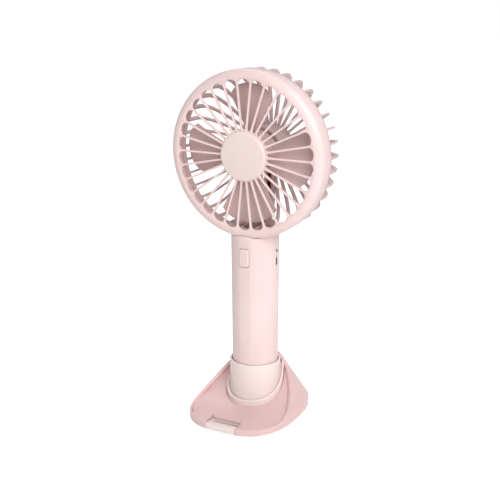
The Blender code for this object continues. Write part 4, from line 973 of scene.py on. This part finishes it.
def build_button():
    z = (BUTTON_LOW.z + BUTTON_HIGH.z) / 2
    face = BUTTON_LOW.y
    back = BUTTON_HIGH.y
    outline = rounded_rectangle(BUTTON_WIDTH, BUTTON_HEIGHT, 2.0 * MM, 10)
    place = Matrix.Translation((0, 0, z)) @ Matrix.Rotation(math.radians(90), 4, "X")
    body = object_from("button_cap", slab(outline, -(back - 0.6 * MM), -face, place, 0.55 * MM, 5))
    flange = rounded_rectangle(BUTTON_WIDTH + 2 * MM, BUTTON_HEIGHT + 2 * MM, 2.6 * MM)
    carve(body, [slab(flange, -back, -(back - 0.9 * MM), place)], "UNION")
    ring = arc((0, 0), 1.25 * MM, 125, 415, 24) + arc((0, 0), 0.95 * MM, 415, 125, 24)
    stroke = rounded_rectangle(0.32 * MM, 1.5 * MM, 0.15 * MM, 4)
    depth = 0.12 * MM
    cuts = [slab(ring, -(face + depth), -(face - 1 * MM), place),
            slab([(x, y + 1.0 * MM) for x, y in stroke], -(face + depth), -(face - 1 * MM), place)]
    carve(body, cuts)
    return piece(body, "button", "button_pink", ["power_button"])


# ---------------------------------------------------------------- stand

def foot_point(angle, inset, squareness=2.65):
    half_width = SKIRT_HIGH.x + 0.05 * MM - inset
    half_depth = (SKIRT_HIGH.y - SKIRT_LOW.y) / 2 + 0.1 * MM - inset
    power = 2.0 / squareness
    c = math.cos(angle)
    s = math.sin(angle)
    return (half_width * math.copysign(abs(c) ** power, c),
            half_depth * math.copysign(abs(s) ** power, s))


def foot_centre():
    return (SKIRT_HIGH.y + SKIRT_LOW.y) / 2


def scoop_share(y):
    """How far up the scoop's slope a place is, from 0 in front to 1 at the back."""
    return min(1.0, max(0.0, (y - SCOOP_FRONT) / (SCOOP_TOP - SCOOP_FRONT)))


def scoop_height(y):
    return FOOT_RIM + (CUP_HIGH.z - FOOT_RIM) * scoop_share(y) ** SCOOP_POWER


def deck_height(y):
    return DECK_FRONT + (DECK_TOP - DECK_FRONT) * scoop_share(y) ** DECK_POWER


def highest(low, high, holds):
    """Highest value between low and high for which holds(value) is still true."""
    for _ in range(40):
        middle = (low + high) / 2
        if holds(middle):
            low = middle
        else:
            high = middle
    return low


def skirt_point(angle, height, inset=0.0):
    """Point of the skirt's outer side over one place of its foot, at a height."""
    top = CUP_HIGH.z
    x, y = foot_point(angle, inset)
    direction = math.atan2(y, x)
    blend = min(1.0, (top - height) / (top - FOOT_RIM))
    radius = SKIRT_TOP_RADIUS - inset
    return Vector((x * blend + radius * math.cos(direction) * (1 - blend),
                   (y + foot_centre()) * blend + radius * math.sin(direction) * (1 - blend), height))


def skirt_top(angle):
    """Height where the scoop cuts the skirt over one place of its foot."""
    if skirt_point(angle, CUP_HIGH.z).y >= SCOOP_TOP:
        return CUP_HIGH.z
    return highest(FOOT_RIM, CUP_HIGH.z, lambda z: scoop_height(skirt_point(angle, z).y) > z)


def notch_angle():
    """Angle parameter of the foot's outline where the front notch starts."""
    return highest(math.pi * 1.25, math.pi * 1.5, lambda a: foot_point(a, 0.0)[0] < -NOTCH_HALF)


def stand_piece(name, bm, wall_thickness, rounding, slot, node):
    """Give an open stand surface its wall and its rounded edges."""
    shell = object_from(name, bm)
    wall = shell.modifiers.new("wall", "SOLIDIFY")
    wall.thickness = wall_thickness
    wall.offset = -1.0
    settle(shell)
    edge_round(shell, rounding, 4, 50.0)
    return piece(shell, "base", slot, [node], 60.0)


def build_skirt():
    start = 3 * math.pi - notch_angle()
    end = notch_angle() + 2 * math.pi
    bm = bmesh.new()
    bmesh.ops.create_grid(bm, x_segments=150, y_segments=20, size=0.5)
    for vert in bm.verts:
        angle = start + (end - start) * (vert.co.x + 0.5)
        crest = skirt_top(angle)
        share = vert.co.y + 0.5
        if share < SKIRT_RIM_SHARE:
            height = crest + (FOOT_RIM - crest) * share / SKIRT_RIM_SHARE
        else:
            below = (share - SKIRT_RIM_SHARE) / (1 - SKIRT_RIM_SHARE)
            height = FOOT_RIM + (SKIRT_LOW.z - FOOT_RIM) * below
        vert.co = skirt_point(angle, height)
    bmesh.ops.remove_doubles(bm, verts=bm.verts, dist=1e-6)
    bmesh.ops.dissolve_degenerate(bm, dist=1e-6, edges=bm.edges)
    face_away(bm, Vector((0.0, 0.0, 0.010)))
    return stand_piece("stand_skirt", bm, SKIRT_WALL, 0.55 * MM, "skirt_rose", "base_skirt")


def face_away(bm, centre):
    """Point an open surface's faces away from a point inside it."""
    bmesh.ops.recalc_face_normals(bm, faces=bm.faces)
    outward = sum((face.calc_center_median() - centre).dot(face.normal) for face in bm.faces)
    if outward < 0:
        bmesh.ops.reverse_faces(bm, faces=bm.faces)


def deck_rim(angle):
    """Where the deck meets the skirt's inner wall over one place of the foot."""
    inset = 1.9 * MM
    height = highest(FOOT_RIM, CUP_HIGH.z, lambda z: deck_height(skirt_point(angle, z, inset).y) > z)
    return skirt_point(angle, height, inset)


def build_deck():
    inner = CUP_HIGH.x + sizes().seam
    bm = bmesh.new()
    bmesh.ops.create_grid(bm, x_segments=160, y_segments=24, size=0.5)
    rims = {}
    for vert in bm.verts:
        turn = round(vert.co.x * 160)
        if turn not in rims:
            rim = deck_rim(math.radians(-90 + DECK_SPAN * vert.co.x))
            if abs(rim.x) < NOTCH_HALF + 0.3 * MM:
                rim.y = max(rim.y, NOTCH_BACK)
            rims[turn] = rim
        rim = rims[turn]
        flat = Vector((rim.x, rim.y)).normalized() * inner
        x, y = flat.lerp(Vector((rim.x, rim.y)), vert.co.y + 0.5)
        vert.co = (x, y, deck_height(y))
    face_away(bm, Vector((0.0, 0.0, -1.0)))
    return stand_piece("stand_deck", bm, DECK_WALL, 0.25 * MM, "skirt_rose", "base_deck")


def cup_shoulder(outer, reach):
    """Thicker foot of the cup in front, whose lip follows the deck's slope behind a shadow groove."""
    groove = outer + 0.85 * MM
    groove_floor = SHOULDER_RISE - 1.9 * MM
    bottom = -1.0
    core = outer - 0.6 * MM
    lip = [(reach, SHOULDER_RISE - 1.6 * MM), (reach, SHOULDER_RISE), (groove, SHOULDER_RISE),
           (groove, groove_floor), (core, groove_floor)]
    profile = [(reach, bottom)] + softened(lip, 0.45 * MM, False, 5) + [(core, bottom)]
    bm = turn_profile(profile, True, 160)
    for vert in bm.verts:
        if vert.co.z < bottom / 2:
            vert.co.z = CUP_LOW.z
        else:
            vert.co.z += deck_height(vert.co.y)
    bmesh.ops.recalc_face_normals(bm, faces=bm.faces)
    shoulder = object_from("cup_foot", bm)
    return taken_shape(carve(shoulder, [block((-FAR, SHOULDER_BACK, -FAR), (FAR, FAR, FAR))]))


def build_cup():
    top = CUP_HIGH.z
    reach = CUP_HIGH.x
    outer = reach - SHOULDER_REACH
    bore = outer - CUP_WALL
    floor = END_LOW.z - sizes().seam
    profile = [(0.0, floor), (bore, floor), (bore, top), (outer, top), (outer, CUP_LOW.z + 0.2 * MM),
               (0.0, CUP_LOW.z + 0.2 * MM)]
    cup = object_from("stand_cup", turn_profile(softened(profile, 0.5 * MM, False, 5), False, 160))
    carve(cup, [cup_shoulder(outer, reach)], "UNION")
    return piece(cup, "base", "cup_pink", ["base_cup"])


def refined_copy(node, name, body, slot, width):
    """Merge a CAD node's loose triangles in a copy and round its edges."""
    bm = bmesh.new()
    bm.from_mesh(frame["nodes"][node].data)
    bmesh.ops.remove_doubles(bm, verts=bm.verts, dist=1e-6)
    bmesh.ops.dissolve_limit(bm, angle_limit=math.radians(1.0), verts=bm.verts, edges=bm.edges)
    obj = object_from(name, bm)
    edge_round(obj, width, 3, 40.0)
    return piece(obj, body, slot, [node])


def build_plate():
    return refined_copy("base_plate", "stand_plate", "base", "cup_pink", 0.3 * MM)


# ---------------------------------------------------------------- carried pieces

def finish_carried_nodes():
    """Give every CAD node that stays its own finish."""
    slots = {entry["node"]: entry["material_slot"] for entry in frame["record"]["subparts"]}
    for node, obj in frame["nodes"].items():
        if obj.hide_render:
            continue
        obj.data.materials.clear()
        obj.data.materials.append(finish_of(slots[node]))


# ---------------------------------------------------------------- stage

TARGET = Vector((0.0, 0.0, 0.115))
CAMERA_DISTANCE = 0.590
CAMERA_TURN = 27.5
CAMERA_RISE = 15.4


def aim(obj, target):
    obj.rotation_euler = (target - obj.location).to_track_quat("-Z", "Y").to_euler()


def around(target, distance, turn_deg, rise_deg):
    turn = math.radians(turn_deg)
    rise = math.radians(rise_deg)
    return target + distance * Vector((math.sin(turn) * math.cos(rise), -math.cos(turn) * math.cos(rise),
                                       math.sin(rise)))


def soft_light(name, turn_deg, rise_deg, distance, size, power, tint=(1.0, 1.0, 1.0)):
    lamp = bpy.data.lights.new(name, "AREA")
    lamp.shape = "DISK"
    lamp.size = size
    lamp.energy = power
    lamp.color = tint
    obj = bpy.data.objects.new(name, lamp)
    bpy.context.scene.collection.objects.link(obj)
    obj.location = around(TARGET, distance, turn_deg, rise_deg)
    aim(obj, TARGET)
    return obj


def build_stage():
    scene = bpy.context.scene
    scene.view_settings.view_transform = "Standard"
    camera = bpy.data.objects.new("camera", bpy.data.cameras.new("camera"))
    scene.collection.objects.link(camera)
    camera.location = around(TARGET, CAMERA_DISTANCE, CAMERA_TURN, CAMERA_RISE)
    aim(camera, TARGET)
    camera.data.lens = 67.25
    camera.data.sensor_width = 36.0
    camera.data.shift_x = -0.0107
    camera.data.shift_y = -0.0284
    camera.data.clip_start = 0.01
    camera.data.clip_end = 20.0
    scene.camera = camera
    bm = bmesh.new()
    bmesh.ops.create_grid(bm, x_segments=2, y_segments=2, size=4.0)
    floor = object_from("floor", bm)
    made, tree, shader = start_material("floor_white")
    shader.inputs["Base Color"].default_value = (0.97, 0.97, 0.97, 1.0)
    shader.inputs["Roughness"].default_value = 0.9
    shader.inputs["Emission Color"].default_value = (1.0, 1.0, 1.0, 1.0)
    seen = tree.nodes.new("ShaderNodeLightPath")
    lift = add(tree, "Math", operation="MULTIPLY")
    lift.inputs[1].default_value = 0.55
    tree.links.new(seen.outputs["Is Camera Ray"], lift.inputs[0])
    tree.links.new(lift.outputs[0], shader.inputs["Emission Strength"])
    floor.data.materials.append(made)
    world = bpy.data.worlds.new("studio")
    scene.world = world
    world.use_nodes = True
    nodes = world.node_tree
    back = nodes.nodes["Background"]
    back.inputs["Color"].default_value = (1.0, 1.0, 1.0, 1.0)
    path = nodes.nodes.new("ShaderNodeLightPath")
    level = add(nodes, "MapRange", To_Min=0.50, To_Max=1.0)
    nodes.links.new(path.outputs["Is Camera Ray"], level.inputs["Value"])
    nodes.links.new(level.outputs["Result"], back.inputs["Strength"])
    soft_light("key", 46.0, 36.0, 0.9, 0.6, 5.0)
    soft_light("fill", 85.0, 25.0, 1.0, 0.7, 0.9)
    soft_light("rim", -150.0, 50.0, 1.1, 0.6, 1.5)
    return floor


# ---------------------------------------------------------------- operators and panel

class FAN_OT_front_grille(bpy.types.Operator):
    """Ring and radial spokes of the head"""
    bl_idname = "fan.front_grille"
    bl_label = "Front grille"
    bl_options = {"REGISTER", "UNDO"}

    def execute(self, context):
        build_front_grille()
        return {"FINISHED"}


class FAN_OT_grille_cap(bpy.types.Operator):
    """Smooth disc in the middle of the grille"""
    bl_idname = "fan.grille_cap"
    bl_label = "Grille cap"
    bl_options = {"REGISTER", "UNDO"}

    def execute(self, context):
        build_grille_cap()
        return {"FINISHED"}


class FAN_OT_rear_cage(bpy.types.Operator):
    """Ribs, motor cup and neck"""
    bl_idname = "fan.rear_cage"
    bl_label = "Rear cage"
    bl_options = {"REGISTER", "UNDO"}

    def execute(self, context):
        build_rear_cage()
        return {"FINISHED"}


class FAN_OT_rear_cap(bpy.types.Operator):
    """Disc over the motor cup"""
    bl_idname = "fan.rear_cap"
    bl_label = "Rear cap"
    bl_options = {"REGISTER", "UNDO"}

    def execute(self, context):
        build_rear_cap()
        return {"FINISHED"}


class FAN_OT_impeller(bpy.types.Operator):
    """Hub with its pitched blades"""
    bl_idname = "fan.impeller"
    bl_label = "Impeller"
    bl_options = {"REGISTER", "UNDO"}

    def execute(self, context):
        build_impeller()
        return {"FINISHED"}


class FAN_OT_handle(bpy.types.Operator):
    """Two half shells of the handle"""
    bl_idname = "fan.handle"
    bl_label = "Handle"
    bl_options = {"REGISTER", "UNDO"}

    def execute(self, context):
        build_handle()
        return {"FINISHED"}


class FAN_OT_end_cap(bpy.types.Operator):
    """Cap at the bottom of the handle"""
    bl_idname = "fan.end_cap"
    bl_label = "End cap"
    bl_options = {"REGISTER", "UNDO"}

    def execute(self, context):
        build_end_cap()
        return {"FINISHED"}


class FAN_OT_button(bpy.types.Operator):
    """Power button with its generic mark"""
    bl_idname = "fan.button"
    bl_label = "Button"
    bl_options = {"REGISTER", "UNDO"}

    def execute(self, context):
        build_button()
        return {"FINISHED"}


class FAN_OT_skirt(bpy.types.Operator):
    """Flared shell of the stand with its scooped front"""
    bl_idname = "fan.skirt"
    bl_label = "Skirt"
    bl_options = {"REGISTER", "UNDO"}

    def execute(self, context):
        build_skirt()
        return {"FINISHED"}


class FAN_OT_deck(bpy.types.Operator):
    """Sloping inner floor of the stand"""
    bl_idname = "fan.deck"
    bl_label = "Deck"
    bl_options = {"REGISTER", "UNDO"}

    def execute(self, context):
        build_deck()
        return {"FINISHED"}


class FAN_OT_cup(bpy.types.Operator):
    """Cup that holds the handle"""
    bl_idname = "fan.cup"
    bl_label = "Cup"
    bl_options = {"REGISTER", "UNDO"}

    def execute(self, context):
        build_cup()
        return {"FINISHED"}


class FAN_OT_plate(bpy.types.Operator):
    """Bottom plate of the stand with its front tab"""
    bl_idname = "fan.plate"
    bl_label = "Plate"
    bl_options = {"REGISTER", "UNDO"}

    def execute(self, context):
        build_plate()
        return {"FINISHED"}


class FAN_OT_carried(bpy.types.Operator):
    """Finishes of the motor, battery, electrics and pad"""
    bl_idname = "fan.carried"
    bl_label = "Inner works"
    bl_options = {"REGISTER", "UNDO"}

    def execute(self, context):
        finish_carried_nodes()
        return {"FINISHED"}


class FAN_OT_stage(bpy.types.Operator):
    """Floor, lights and camera"""
    bl_idname = "fan.stage"
    bl_label = "Stage"
    bl_options = {"REGISTER", "UNDO"}

    def execute(self, context):
        build_stage()
        return {"FINISHED"}


OPERATORS = [
    FAN_OT_front_grille,
    FAN_OT_grille_cap,
    FAN_OT_rear_cage,
    FAN_OT_rear_cap,
    FAN_OT_impeller,
    FAN_OT_handle,
    FAN_OT_end_cap,
    FAN_OT_button,
    FAN_OT_skirt,
    FAN_OT_deck,
    FAN_OT_cup,
    FAN_OT_plate,
    FAN_OT_carried,
    FAN_OT_stage,
]


class FAN_PT_panel(bpy.types.Panel):
    """Builds the fan piece by piece"""
    bl_idname = "FAN_PT_panel"
    bl_label = "Handheld fan"
    bl_space_type = "VIEW_3D"
    bl_region_type = "UI"
    bl_category = "Fan"

    def draw(self, context):
        layout = self.layout
        for made in OPERATORS:
            layout.operator(made.bl_idname)
        for settings in (context.scene.fan_sizes, context.scene.fan_colours):
            for key in settings.__annotations__:
                layout.prop(settings, key)


CLASSES = [FanSizes, FanColours] + OPERATORS + [FAN_PT_panel]


def register():
    for made in CLASSES:
        bpy.utils.register_class(made)
    bpy.types.Scene.fan_sizes = PointerProperty(type=FanSizes)
    bpy.types.Scene.fan_colours = PointerProperty(type=FanColours)


def unregister():
    del bpy.types.Scene.fan_colours
    del bpy.types.Scene.fan_sizes
    for made in reversed(CLASSES):
        bpy.utils.unregister_class(made)


def main():
    register()
    for made in OPERATORS:
        group_name, call = made.bl_idname.split(".")
        getattr(getattr(bpy.ops, group_name), call)()


if __name__ == "__main__":
    main()
